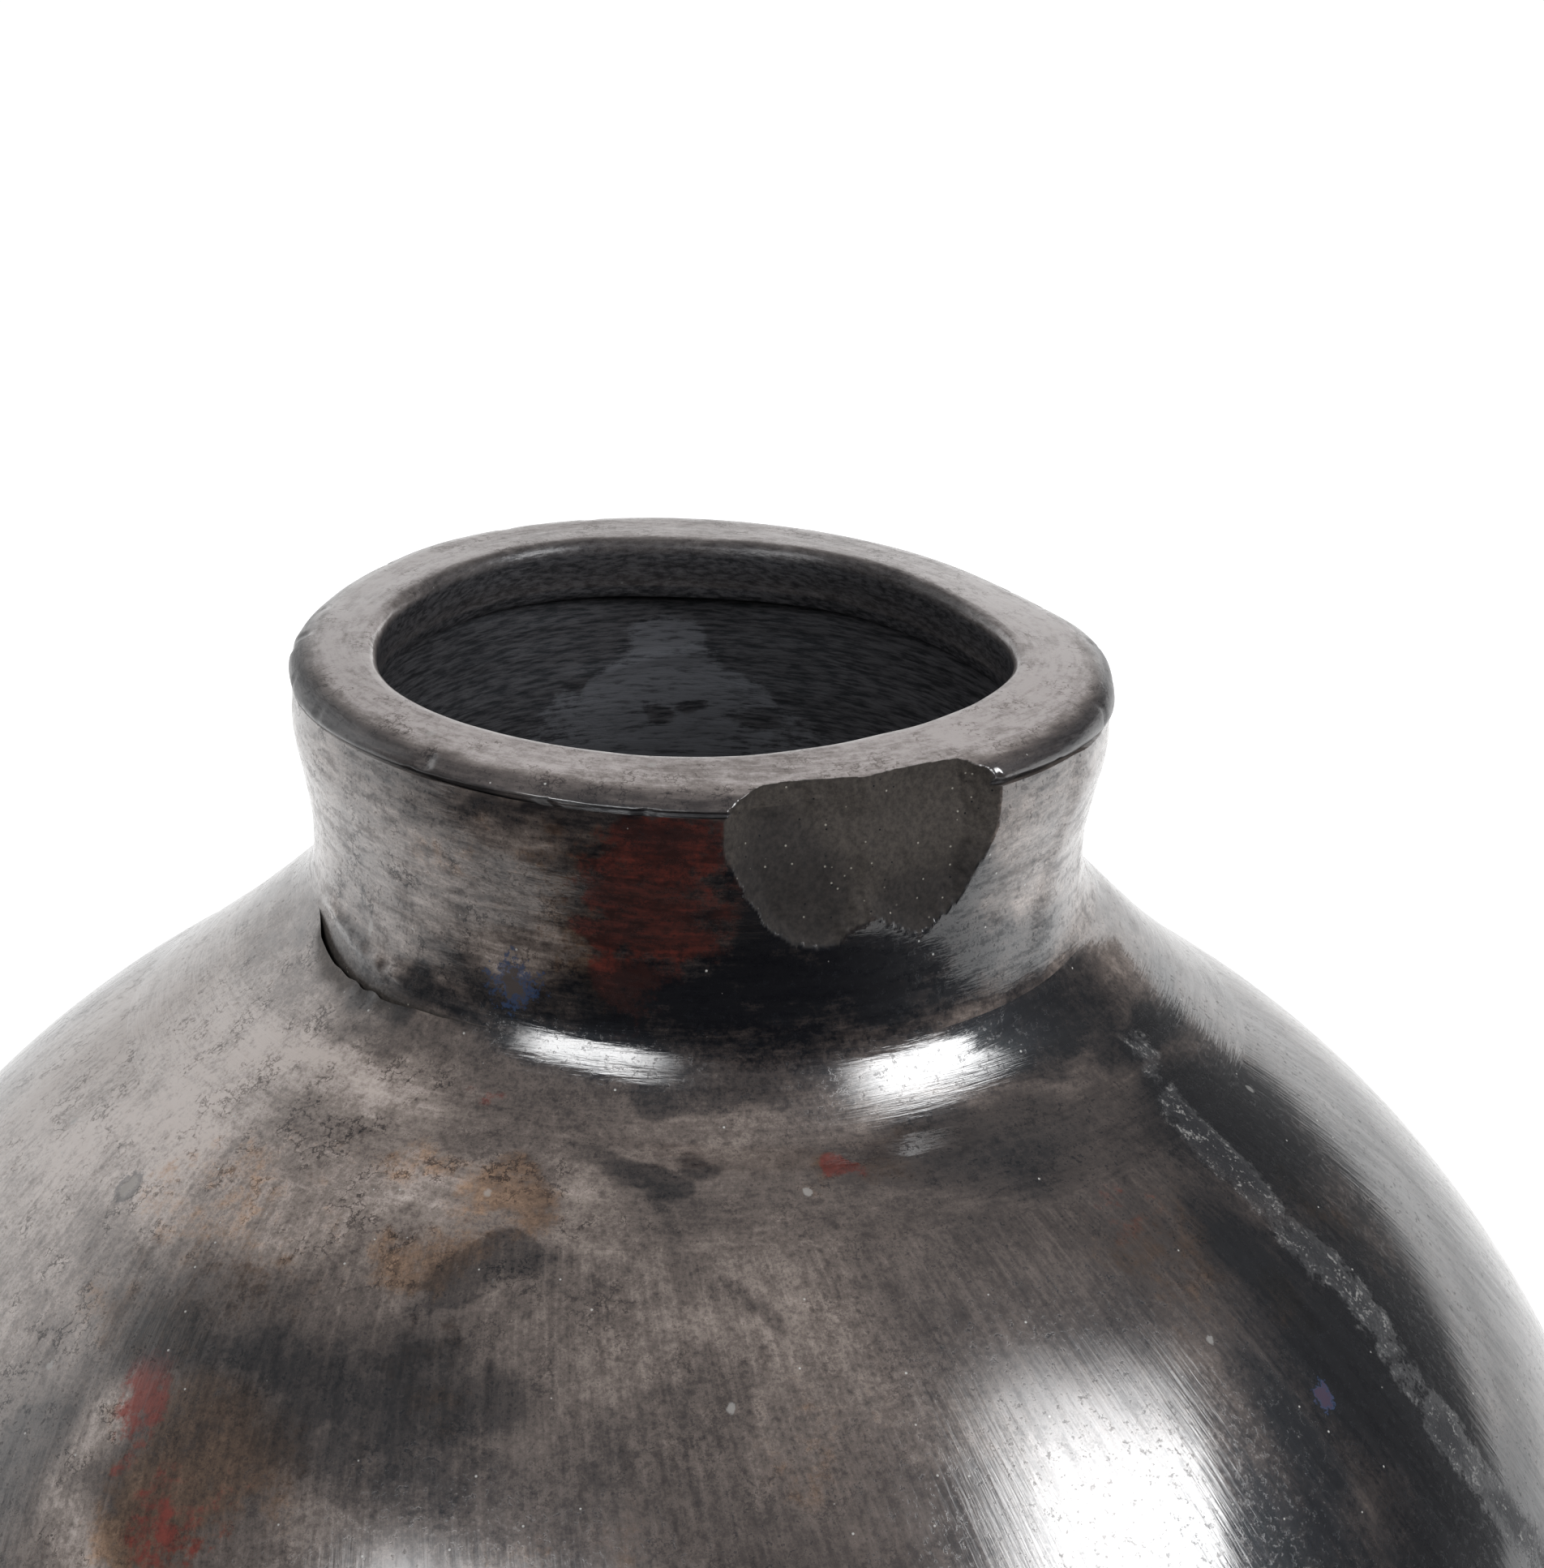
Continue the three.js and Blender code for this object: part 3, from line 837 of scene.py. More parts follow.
toe = wall_point(wall_length - TOE_REACH)
below_toe = wall_point(wall_length - TOE_REACH - TOE_APPROACH)
groove = by_bearing(GROOVE)
neck_line = smooth_line(neck_points(), NECK_STEP)
neck_steps = np.diff(neck_line, axis=0, prepend=neck_line[:1])
neck_distance = np.hypot(neck_steps[:, 0], neck_steps[:, 1]).cumsum(axis=0)
toe_row = int(np.argmin(np.hypot(*(neck_line[:, :, 0] - toe).T)))

BLISTER_EDGE = (0.030, 0.026, 0.026, 1)
BLISTER_MIDDLE = (0.300, 0.270, 0.240, 1)
TARNISH_BLUE = (0.030, 0.060, 0.140, 1)
TARNISH_RED = (0.055, 0.024, 0.034, 1)


def on_wall(bearing, height):
    """A place on the outside of the wall, by degrees and millimetres."""
    radius = np.interp(height * MM, wall_line[:, 1], wall_line[:, 0])
    angle = math.radians(bearing)
    return radius * math.cos(angle), radius * math.sin(angle), height * MM


wall_spots = [
    (on_wall(-148.6, 149.4), 1.6 * MM, 2.0, BLISTER_EDGE, BLISTER_MIDDLE),
    (on_wall(-36.5, 136.2), 1.0 * MM, 8.0, TARNISH_BLUE, TARNISH_RED),
]
wall_clay = burnished_clay(
    "wall_clay", stroke=(1.0, 1.0, 0.06), slant=3.0, speckle=0.8, smear=0.4, spots=wall_spots
)
pitch = (wall_length - FOOT_RISE) / COIL_COUNT
for course in range(COIL_COUNT):
    bottom = FOOT_RISE + course * pitch
    top = bottom + pitch
    bed = []
    if course == COIL_COUNT - 1:
        outside = wall_run(bottom, wall_length - TOE_REACH, OUTSIDE_STEP)
        outside[-1] = neck_line[toe_row + ROWS_PAST_TOE].mean(axis=-1)
        edge = [(BED_RADIUS, opening_height - COIL_BED_DROP), (TRIMMED_INNER_RADIUS, opening_height)]
        bed = [stretch(edge, hidden, shows=False)]
        top += LAP
    else:
        outside = wall_run(bottom, top, OUTSIDE_STEP)
    inside = wall_run(top - LAP, bottom - LAP, INSIDE_STEP, WALL)
    clay_ring(
        f"wall_coil_{course + 1}",
        [stretch(outside, body_skin), *bed, stretch(inside, raw_skin)],
        wall_clay,
    )

# Luting roll: a thin roll of clay pressed into the corner between the shoulder and the neck and
# smoothed out over the shoulder. At the front left it has come away from the neck as a crack.
NECK_AXIS = (0.85 * MM, 0.3 * MM)
NECK_AXIS_RISE = 5 * MM
LIP_TILT = math.radians(1)
CRACK_WIDTH = 1.8 * MM
CRACK_BEARINGS = (-162.5, -157, -152, -116)
CRACK_UNEVENNESS = 0.3
CRACK_BUMPS = (1, 170, 63)
# The seam between roll and neck: bearing and drop under the rim.
SEAM = [
    (-161, 23.1), (-152, 24.3), (-144, 25.1), (-131, 25.5), (-120, 25.6), (-90, 26.2), (-45, 26.0),
    (0, 24.4), (60, 24.0), (120, 24.0), (178, 23.2),
]
ROLL_ROWS = 44
ROUND_STROKES = (0.08, 0.08, 1.0)
ROLL_FLOW = 5 * MM
ROLL_BED_DROP = 3.0 * MM
CHIP_BUMPS = (1 * MM, 200, 64)
CHIP_WANDER = 0.4
CHIP_REACH = (0.3, 1.6)
CHIP_WIDTHS = (0.7 * MM, 1.5 * MM)
CHIP_STRENGTH = 0.7


def on_neck(radius, height, bearing):
    """Points in the vase's own frame, with the neck a little off the middle and its rim tilted."""
    moved = eased(height, toe[1], opening_height + NECK_AXIS_RISE)
    x = radius * np.cos(bearing) + NECK_AXIS[0] * moved
    y = radius * np.sin(bearing) + NECK_AXIS[1] * moved
    tilt = eased(height, opening_height, RIM_HEIGHT) * x * math.tan(LIP_TILT)
    return np.stack([x, y, height - tilt], axis=-1)


def at_each_bearing(value, known, answer):
    """What a line gives for a value at every bearing; known and answer have a column for each."""
    columns = range(len(BEARING))
    return np.stack([np.interp(value[..., c], known[:, c], answer[:, c]) for c in columns], axis=-1)


def neck_run(start, end, count):
    """Rows of the neck's outside between two distances at every bearing, and one beyond each end."""
    share = np.linspace(0, 1, count)
    distance = start + np.outer(np.r_[-share[1], share, 1 + share[1]], end - start)
    parts = [at_each_bearing(distance, neck_distance, neck_line[:, part]) for part in (0, 1)]
    return np.stack(parts, axis=1)


def crack_width():
    """How far the crack gapes at every bearing."""
    bearing = turn_from(BEARING, 0)
    start, full, fading, end = CRACK_BEARINGS
    width = CRACK_WIDTH * eased(bearing, start, full) * (1 - eased(bearing, fading, end))
    return width * (1 + CRACK_UNEVENNESS * lumps(BEARING, np.zeros_like(BEARING), *CRACK_BUMPS))


crack = crack_width()
seam = RIM_HEIGHT - by_bearing(SEAM) * MM
seam_distance = at_each_bearing(seam, neck_line[:, 1], neck_distance)

# Clouds and patches on the neck and the roll, as spots. The soot and smoke spots at 187 to 188.3 mm,
# just under the lip, are partly painted shadow of the lip.
NECK_SOOT_AND_LIP_SHADOW = [
    (-70, 172, 17, 6, 0, 1.1), (-95, 170, 15, 4, 0, 1.1), (-46, 169.5, 12, 4, 0, 1.0),
    (-80, 181, 6, 11, 0, 1.1), (-60, 177, 10, 5, 0, 0.95), (-116, 170.5, 9, 2.6, 0, 0.85),
    (-94, 187.5, 7, 2.6, 0, 0.55), (-108, 188.3, 11, 1.2, 0, 0.35), (-96, 179, 7, 13, 0, 0.56),
    (-33, 167.5, 8, 3, 20, 0.8), (60, 176, 30, 8, 0, 0.6), (-132, 167, 16, 1.6, 0, 0.6),
]
NECK_SMOKE_AND_LIP_SHADOW = [
    (-86, 164.5, 18, 3, 0, 0.7), (130, 170, 26, 6, 0, 0.7), (-128, 187, 14, 1.3, 0, 0.35),
    (-108, 178, 6, 8, 0, 0.25), (-132, 176, 6, 4, 0, 0.3), (-145, 172, 5, 3, 0, 0.3),
]


def roll_skin(radius, height, bearing):
    """The outside of the roll, with the neck's soot running down over it and a chipped crack edge."""
    flat, height, up, marks = body_skin(radius, height, bearing)
    radius = radius + (flat - radius) * (1 - eased(height, toe[1], toe[1] + ROLL_FLOW))
    marks["soot"] = np.maximum(marks["soot"], patches(bearing, height, NECK_SOOT_AND_LIP_SHADOW))
    marks["smoke"] = np.maximum(marks["smoke"], patches(bearing, height, NECK_SMOKE_AND_LIP_SHADOW))
    below_seam = (seam - crack / 2 - height) / MM + CHIP_WANDER * lumps(bearing, height, *CHIP_BUMPS)
    chipped = (1 - eased(below_seam, *CHIP_REACH)) * eased(crack, *CHIP_WIDTHS)
    marks["broken"] = CHIP_STRENGTH * chipped
    return radius, height, up, marks


roll_outside = neck_run(neck_distance[toe_row], seam_distance - crack / 2, ROLL_ROWS)
roll_bed = [(BED_RADIUS, opening_height - ROLL_BED_DROP)]
roll_clay = burnished_clay(
    "roll_clay", stroke=ROUND_STROKES, slant=0.0, speckle=0.8, smear=0.3, burnish=3.6
)
clay_ring(
    "luting_roll",
    [stretch(roll_outside, roll_skin, on_neck), stretch(roll_bed, hidden, on_neck, shows=False)],
    roll_clay,
)

# Neck collar: a strip of clay bent into a ring, lapped at its ends and set on the trimmed opening.
# Its outside is burnished and flares to the lip; its inside keeps the marks of the scraper. A
# flake has broken out of it and the lip at the front right, in two shells side by side.
FRONT = -90
# Shells of the flake: bearing from the front, half turn, height over the rim and half height.
FLAKE_LOBES = [(17.3, 13.5, -4.0, 12.8), (33.5, 13.0, -4.0, 12.6)]
FLAKE_DEPTH = 3.5 * MM
FLAKE_SPREAD = 20
FLAKE_FOOT = -18.5
FLAKE_TAPER = 14
FLAKE_EDGE = 9 * MM
FLAKE_POWER = 1.7
FLAKE_BLEND = 16
FLAKE_RIPPLES = (2.6, 150, 11)
FLAKE_GRAIN = (0.9, 420, 12)
RIPPLE_RISE = 0.10 * MM
GRAIN_RISE = 0.06 * MM
RIPPLED_EDGE = 0.035
GRAINY_EDGE = 0.02
BREAK_SHOWS = (0.02 * MM, 0.10 * MM)
LAP_BEARING = -24
LAP_TOP = 4
LAP_SLANT = 0.42
LAP_RISE = 0.3 * MM
LAP_EDGE = (-2.5, 2.5)
LAP_FADE = (2, 16)
NECK_SWELL = 0.10 * MM
NECK_BUMPS = (9, 22, 21)
SEAM_CALM = (0, 4)
CRACK_LIFT = 0.16
CRACK_LIFT_HEIGHT = 0.9
CRACK_LIFT_SPREAD = 0.6
LIP_SHADE = 0.7
LIP_SHADE_HEIGHTS = (-6.5, -4)
COLLAR_ROWS = 66
NECK_RUSSET = [(-96, 180, 6.2, 11, 0, 1.0), (150, 178, 9, 8, 0, 0.7)]
NECK_UMBER = [(-101, 180, 9, 11, 0, 0.7), (-120, 182, 10, 6, 0, 0.3), (100, 180, 20, 8, 0, 0.7)]
NECK_PALE = [
    (-165, 180, 20, 12, 0, 0.75), (-138, 177, 14, 9, 0, 0.55), (-28, 178, 12, 12, 0, 0.25),
    (10, 180, 22, 12, 0, 0.6), (-116, 177, 8, 8, 0, 0.22),
]


def flake_depth(bearing, height):
    """How far the break lies under the skin, negative where the skin is whole."""
    turn = turn_from(bearing, FRONT)
    drop = (height - RIM_HEIGHT) / MM
    ripple = lumps(bearing, drop, *FLAKE_RIPPLES)
    grain = lumps(bearing, drop, *FLAKE_GRAIN)
    near = np.zeros_like(height)
    for middle, half_turn, centre, half_height in FLAKE_LOBES:
        away = np.abs((turn - middle) / half_turn) ** FLAKE_POWER
        away = away + np.abs((drop - centre) / half_height) ** FLAKE_POWER
        near = near + np.exp(-FLAKE_BLEND * away ** (1 / FLAKE_POWER))
    whole = -np.log(np.maximum(near, 1e-30)) / FLAKE_BLEND
    edge = FLAKE_EDGE * (1 - whole + RIPPLED_EDGE * ripple + GRAINY_EDGE * grain)
    across = np.max([1 - ((turn - lobe[0]) / FLAKE_SPREAD) ** 2 for lobe in FLAKE_LOBES], axis=0)
    scoop = FLAKE_DEPTH * across * np.clip((drop - FLAKE_FOOT) / FLAKE_TAPER, 0, 1)
    return np.minimum(edge, scoop + RIPPLE_RISE * ripple + GRAIN_RISE * grain)


def broken_out(radius, height, bearing):
    """The radius left after the flake, and where its break shows."""
    outer = at_each_bearing(height, neck_line[:, 1], neck_line[:, 0])
    depth = flake_depth(bearing, height)
    cut = np.where(depth > 0, np.minimum(radius, outer - depth), radius)
    return cut, eased(radius - cut, *BREAK_SHOWS)


def collar_skin(radius, height, bearing):
    """The burnished outside of the neck, with its lapped end and its lifted edge at the crack."""
    drop = (height - RIM_HEIGHT) / MM
    lap = turn_from(bearing, LAP_BEARING) + LAP_SLANT * np.maximum(-drop - LAP_TOP, 0)
    lap_rise = LAP_RISE * eased(lap, *LAP_EDGE) * (1 - eased(lap, *LAP_FADE))
    swell = NECK_SWELL * lumps(bearing, drop, *NECK_BUMPS)
    above_seam = (height - seam - crack / 2) / MM
    radius = radius + (lap_rise + swell) * eased(above_seam, *SEAM_CALM)
    from_lift = (above_seam - CRACK_LIFT_HEIGHT) / CRACK_LIFT_SPREAD
    radius = radius + CRACK_LIFT * crack * np.exp(-(from_lift**2))
    radius, broken = broken_out(radius, height, bearing)
    marks = {
        "pale": patches(bearing, height, NECK_PALE),
        "shade": LIP_SHADE * eased(drop, *LIP_SHADE_HEIGHTS),
        # Soot and smoke; just under the lip these are partly painted shadow.
        "smoke": patches(bearing, height, NECK_SMOKE_AND_LIP_SHADOW),
        "soot": patches(bearing, height, NECK_SOOT_AND_LIP_SHADOW),
        "russet": patches(bearing, height, NECK_RUSSET),
        "umber": patches(bearing, height, NECK_UMBER),
        "broken": broken,
    }
    return radius, height, reach(height), marks


# The bluish patch of painted light inside: height over the rim, and the bearings of its right and left
# edges.
SHEEN_EDGES = [(-21, 64, 127), (-16.3, 77, 118), (-13.6, 87, 108), (-11, 90, 103), (-8.5, 94, 98)]
SHEEN_MIDDLE = 97
SHEEN_BUMPS = (1.6, 90, 33)
SHEEN_WANDER = 2.6
SHEEN_FADE = 0.5
SHEEN_FADE_TURNS = (8, 28)
SHEEN_SOFT_SIDES = (-4, 3)
SHEEN_SOFT_TOP = (-1.5, 0.8)
BLOTS = [
    (98.5, 173.6, 2.6, 1.1, 0, 1.0), (92, 174.4, 2.0, 0.9, 0, 1.0), (82, 173.7, 2.4, 0.9, 0, 0.9),
    (113, 176.4, 1.3, 0.8, 0, 0.8),
]
BLOT_PUSH = 0.45
SCRAPER_RINGS = (0.8, 24, 31)
SCRAPER_BANDS = (2.2, 9, 32)
BAND_SHARE = 0.5
SCRAPE_DEPTH = 0.07 * MM
OPEN_SEAM_BEARING = 103
OPEN_SEAM_DROP = 13.4
OPEN_SEAM_DEPTH = 0.3 * MM
OPEN_SEAM_HALF = 0.5
OPEN_SEAM_ENDS = (9, 15)
OPEN_SEAM_SWAY = 0.9
OPEN_SEAM_SWAYS = 7


def sheen_patch(bearing, drop):
    """Painted light: a lighter bluish patch on the back wall, narrow at the top and wider further down.
    """
    depth, right, left = np.array(SHEEN_EDGES).T
    turn = turn_from(bearing, 0) + SHEEN_WANDER * lumps(bearing, drop, *SHEEN_BUMPS)
    within = np.minimum(turn - np.interp(drop, depth, right), np.interp(drop, depth, left) - turn)
    middle = 1 - SHEEN_FADE * eased(np.abs(turn_from(bearing, SHEEN_MIDDLE)), *SHEEN_FADE_TURNS)
    above_top = eased(drop - depth[-1], *SHEEN_SOFT_TOP)
    return middle * eased(within, *SHEEN_SOFT_SIDES) * (1 - above_top)


def scraped(radius, height, bearing):
    """The inside of the neck, with the scraper's rings, a seam left open at the back and a patch of
    painted light.
    """
    drop = (height - RIM_HEIGHT) / MM
    rings = lumps(bearing, drop, *SCRAPER_RINGS) + BAND_SHARE * lumps(bearing, drop, *SCRAPER_BANDS)
    from_seam = turn_from(bearing, OPEN_SEAM_BEARING)
    sway = OPEN_SEAM_SWAY * np.sin(np.radians(from_seam) * OPEN_SEAM_SWAYS)
    off_seam = (drop + OPEN_SEAM_DROP + sway) / OPEN_SEAM_HALF
    open_seam = (1 - eased(np.abs(from_seam), *OPEN_SEAM_ENDS)) * np.exp(-(off_seam**2))
    radius = radius + SCRAPE_DEPTH * rings - OPEN_SEAM_DEPTH * open_seam
    sheen = np.clip(sheen_patch(bearing, drop) - patches(bearing, height, BLOTS, BLOT_PUSH), 0, 1)
    return radius, height, reach(height), {"raw": np.ones_like(height), "sheen": sheen}


TARNISH_GOLD = (0.075, 0.050, 0.022, 1)
TARNISH_RADIUS = 37.0 * MM
TARNISH_HEIGHT = RIM_HEIGHT - 21.2 * MM
TARNISH_BEARING = np.radians(-116.4)
tarnish = on_neck(np.array(TARNISH_RADIUS), TARNISH_HEIGHT, TARNISH_BEARING)
neck_clay = burnished_clay(
    "neck_clay", stroke=ROUND_STROKES, slant=3.0, speckle=0.9, smear=0.8, burnish=3.0,
    scrape_drawn=(0.07, 0.07, 1.0),
    spots=[(tuple(tarnish), 2.0 * MM, 5.0, TARNISH_BLUE, TARNISH_GOLD)],
)
# The collar's inside: radius and drop under the rim.
COLLAR_INSIDE = [
    (31.9, 5.8), (31.9, 6.3), (31.5, 11.0), (31.0, 17.0), (31.2, 23.0), (31.7, 29.3), (31.8, 30.3),
]
COLLAR_INSIDE_STEP = 0.5 * MM
COLLAR_CLEARANCE = (0.2 * MM, 0.1 * MM)
CRACK_UNDERCUT = 0.25
collar_outside = neck_run(seam_distance + crack / 2, neck_distance[-1], COLLAR_ROWS)
crack_back = neck_run(seam_distance - crack, seam_distance - crack / 2, 2)[-2]
crack_back[0] -= CRACK_UNDERCUT * crack
collar_foot = np.array([OPENING_RADIUS + COLLAR_CLEARANCE[0], opening_height + COLLAR_CLEARANCE[1]])
collar_bed = np.stack([np.outer(collar_foot, np.ones_like(crack)), crack_back])
collar_inside = smooth_line([under_rim(*point) for point in COLLAR_INSIDE], COLLAR_INSIDE_STEP)
clay_ring(
    "neck_collar",
    [
        stretch(collar_bed, hidden, on_neck, shows=False),
        stretch(collar_outside, collar_skin, on_neck),
        stretch(collar_inside, scraped, on_neck),
    ],
    neck_clay,
)

# Lip coil: a thick coil that finishes the mouth, pressed flat on top and smoothed over the neck,
# with its lower edge left standing over the neck's inside.
LIP_START_RADIUS = 37.75
LIP_STEP = 0.28 * MM
LIP_HALF = 4 * MM
LIP_SWELL = 0.13 * MM
LIP_SCRAPE_DEPTH = 0.06 * MM
NICK_DEPTH = 0.35 * MM
LIP_BUMPS = (4 * MM, 40, 42)
LIP_SCRAPES = (0.7, 30, 41)
NICKS = (2.5 * MM, 130, 43)
NICK_SHARE = (0.45, 0.9)
NICK_EDGE = (0.8 * MM, 2.5 * MM)
BACK_HALF = (-0.1, 0.6)
RAW_INSIDE = (-0.1 * MM, 1.5 * MM)
RAW_INSIDE_DROPS = (0, 1.6)
RAW_EDGE_DROPS = (4, 5)
RAW_BACK = (0.3 * MM, 2.0 * MM)
RAW_BACK_STRENGTH = 0.75
# In the groove under the lip, dark raw colour is painted shadow of the lip, except near the bearing
# where a glint stays.
GROOVE_START = 0.9
GROOVE_END = 0.3
GROOVE_SHADOW = 0.8
GLOSSY_GROOVE_BEARING = -112
GLOSSY_GROOVE_TURNS = (4, 9)
# Painted shade on the lip's outer face: darker and less pale, and at the sides also the dark raw colour
# without gloss; less of it behind.
FACE_DROPS = (0.5, 1.7)
FACE_SHADE = 1.4
FACE_SHADE_ON_PALE = 0.75
FACE_DULL_SHADE = 0.6
FACE_DULL_SHADE_TURNS = (40, 65)
BACK_FACE_LOSS = 0.45
BACK_DULL_SHADE_LOSS = 0.5
# The lip's top is pale; towards its sides it is paler still, as painted reflection of the bright wall.
TOP_PALENESS = 0.72
SIDE_PAINTED_LIGHT = 0.36
LIP_TINT = (0.94, 0.99, 1.05, 1)
# Round the lip, its outside, upper edge and inside: bearing, and radius or drop under the rim.
OUTER_RADIUS = [
    (-90, 37.9), (-125, 38.3), (-155, 38.7), (180, 38.6), (155, 38.6), (130, 39.3), (99, 39.0),
    (62, 38.4), (33, 37.5), (18, 38.3), (-4, 38.8), (-45, 38.1),
]
OUTER_DROP = [
    (-90, 1.15), (-125, 1.2), (-155, 1.15), (180, 1.1), (155, 1.0), (130, 0.6), (99, 0.5),
    (62, 1.0), (33, 1.25), (18, 1.15), (-4, 1.1), (-45, 1.1),
]
INNER_RADIUS = [
    (-90, 29.2), (-120, 30.3), (-155, 31.1), (180, 30.2), (150, 29.8), (118, 30.1), (92, 28.7),
    (65, 28.7), (31, 27.7), (-4, 29.2), (-25, 28.2), (-55, 27.4),
]


def lip_sections():
    """The lip's cross-section at every bearing, from the groove outside to its lower edge inside."""
    outer, drop, inner = (by_bearing(s) for s in (OUTER_RADIUS, OUTER_DROP, INNER_RADIUS))
    points = [
        (LIP_START_RADIUS, groove),
        (outer - 0.3, groove - 0.25),
        (outer, (groove + drop) / 2 + 0.4),
        (outer - 0.22, drop + 0.95),
        (outer - 0.85, drop + 0.35),
        (outer - 2.2, 0.75 * drop),
        ((outer + inner) / 2, 0.3 * drop + 0.1),
        (inner + 1.3, 0.1),
        (inner + 0.4, 0.4),
        (inner + 0.05, 1.3),
        (inner + 0.15, 3.5),
        (inner + 0.5, 5.6),
        (inner + 1.0, 6.15),
        COLLAR_INSIDE[1],
    ]
    return np.stack([under_rim(*np.broadcast_arrays(wide, deep, outer)[:2]) for wide, deep in points])


def lip_rawness_and_shadow(radius, drop, bearing, back):
    """Where the lip is raw: inside, at its lower edge and along its inner edge behind; in the groove
    under it the dark raw colour is painted shadow of the lip, without gloss.
    """
    inner = by_bearing(INNER_RADIUS) * MM
    inside = (1 - eased(radius - inner, *RAW_INSIDE)) * eased(-drop, *RAW_INSIDE_DROPS)
    lower_edge = eased(-drop, *RAW_EDGE_DROPS) * (radius < inner + LIP_HALF)
    # Painted shadow in the groove under the lip.
    under = eased(-drop, groove - GROOVE_START, groove - GROOVE_END) * (radius > inner + LIP_HALF)
    dull_and_shaded = eased(np.abs(turn_from(bearing, GLOSSY_GROOVE_BEARING)), *GLOSSY_GROOVE_TURNS)
    back_edge = back * (1 - eased(radius - inner, *RAW_BACK))
    places = [inside, lower_edge, GROOVE_SHADOW * under * dull_and_shaded, RAW_BACK_STRENGTH * back_edge]
    return np.max(places, axis=0)


def lip_skin(radius, height, bearing):
    """The lip's burnished top and outside and its scraped inside, with painted shade on the outer face,
    painted shadow in the groove under it and painted light towards its sides.
    """
    inner = by_bearing(INNER_RADIUS) * MM
    outer = by_bearing(OUTER_RADIUS) * MM
    drop = (height - RIM_HEIGHT) / MM
    run = np.hypot(np.gradient(radius, axis=0), np.gradient(height, axis=0)).cumsum(axis=0)
    back = eased(np.sin(bearing), *BACK_HALF)
    raw = lip_rawness_and_shadow(radius, drop, bearing, back)
    radius = radius + LIP_SCRAPE_DEPTH * lumps(bearing, drop, *LIP_SCRAPES) * raw
    radius = radius + LIP_SWELL * lumps(bearing, run, *LIP_BUMPS) * (1 - raw)
    nicks = eased(lumps(bearing, run, *NICKS), *NICK_SHARE)
    radius = radius - NICK_DEPTH * nicks * (1 - eased(outer - radius, *NICK_EDGE))
    radius, broken = broken_out(radius, height, bearing)
    # Painted shade on the outer face, which turns down and away from the light.
    face = eased(-drop, *FACE_DROPS) * (radius > inner + LIP_HALF) * (1 - BACK_FACE_LOSS * back)
    beside = eased(np.abs(turn_from(bearing, FRONT)), *FACE_DULL_SHADE_TURNS)
    raw = np.maximum(raw, FACE_DULL_SHADE * face * beside * (1 - BACK_DULL_SHADE_LOSS * back))
    # Painted light: paler towards the lip's sides, where the bright wall is reflected.
    paleness_and_side_light = TOP_PALENESS + SIDE_PAINTED_LIGHT * np.abs(np.cos(bearing))
    marks = {
        "pale": paleness_and_side_light * (1 - raw) * (1 - FACE_SHADE_ON_PALE * face),
        "shade": FACE_SHADE * face,
        "raw": raw,
        "broken": broken,
    }
    return radius, height, wall_length + NECK_HEIGHT + run, marks


lip_clay = burnished_clay(
    "lip_clay", stroke=ROUND_STROKES, slant=0.0, speckle=0.6, smear=0.6, grit=0.7,
    scrape_drawn=(0.16, 0.16, 1.0), tint=LIP_TINT,
)
lip_line = with_ends(smooth_line(lip_sections(), LIP_STEP))
clay_ring("lip_coil", [stretch(lip_line, lip_skin, on_neck)], lip_clay)

# Studio: white paper under the vase and a bright wall behind it, as in a plain product photograph.
# Two soft boxes give the highlights on the shoulder and the roll, and the camera stands where the
# photograph's did.
scene = bpy.context.scene
scene.view_settings.view_transform = "Standard"

FLOOR_HALF = 4.0
FLOOR_FRONT = -0.16
FLOOR_GREY = (0.6, 0.6, 0.6, 1)
FLOOR_GLOW = 0.84
MIRROR_GLOW = 0.7
MIRROR_DEPTHS = (-0.15, 0.15)


def white_floor():
    """White paper that glows a little to the camera, and in reflections of the part behind the vase."""
    material = bpy.data.materials.new("white_floor")
    material.use_nodes = True
    paper = Recipe(material.node_tree)
    rays = paper.add("LightPath", {})
    depth = paper.add("SeparateXYZ", {"Vector": paper.place()}).outputs["Y"]
    behind = paper.ramp(depth, *MIRROR_DEPTHS, 0.0, MIRROR_GLOW)
    mirrored = paper.times(rays.outputs["Is Glossy Ray"], behind)
    strength = paper.total(paper.times(rays.outputs["Is Camera Ray"], FLOOR_GLOW), mirrored)
    glow = paper.add("Emission", {"Strength": strength})
    matt = paper.add("BsdfDiffuse", {"Color": FLOOR_GREY})
    both = paper.add("AddShader", {0: matt.outputs[0], 1: glow.outputs[0]})
    paper.put(material.node_tree.nodes["Material Output"].inputs["Surface"], both.outputs[0])
    return material


floor_mesh = bpy.data.meshes.new("floor")
floor_sides = ((-1, FLOOR_FRONT), (1, FLOOR_FRONT), (1, FLOOR_HALF), (-1, FLOOR_HALF))
floor_corners = [(side * FLOOR_HALF, depth, 0) for side, depth in floor_sides]
floor_mesh.from_pydata(floor_corners, [], [(0, 1, 2, 3)])
floor_mesh.materials.append(white_floor())
floor = bpy.data.objects.new("floor", floor_mesh)
scene.collection.objects.link(floor)

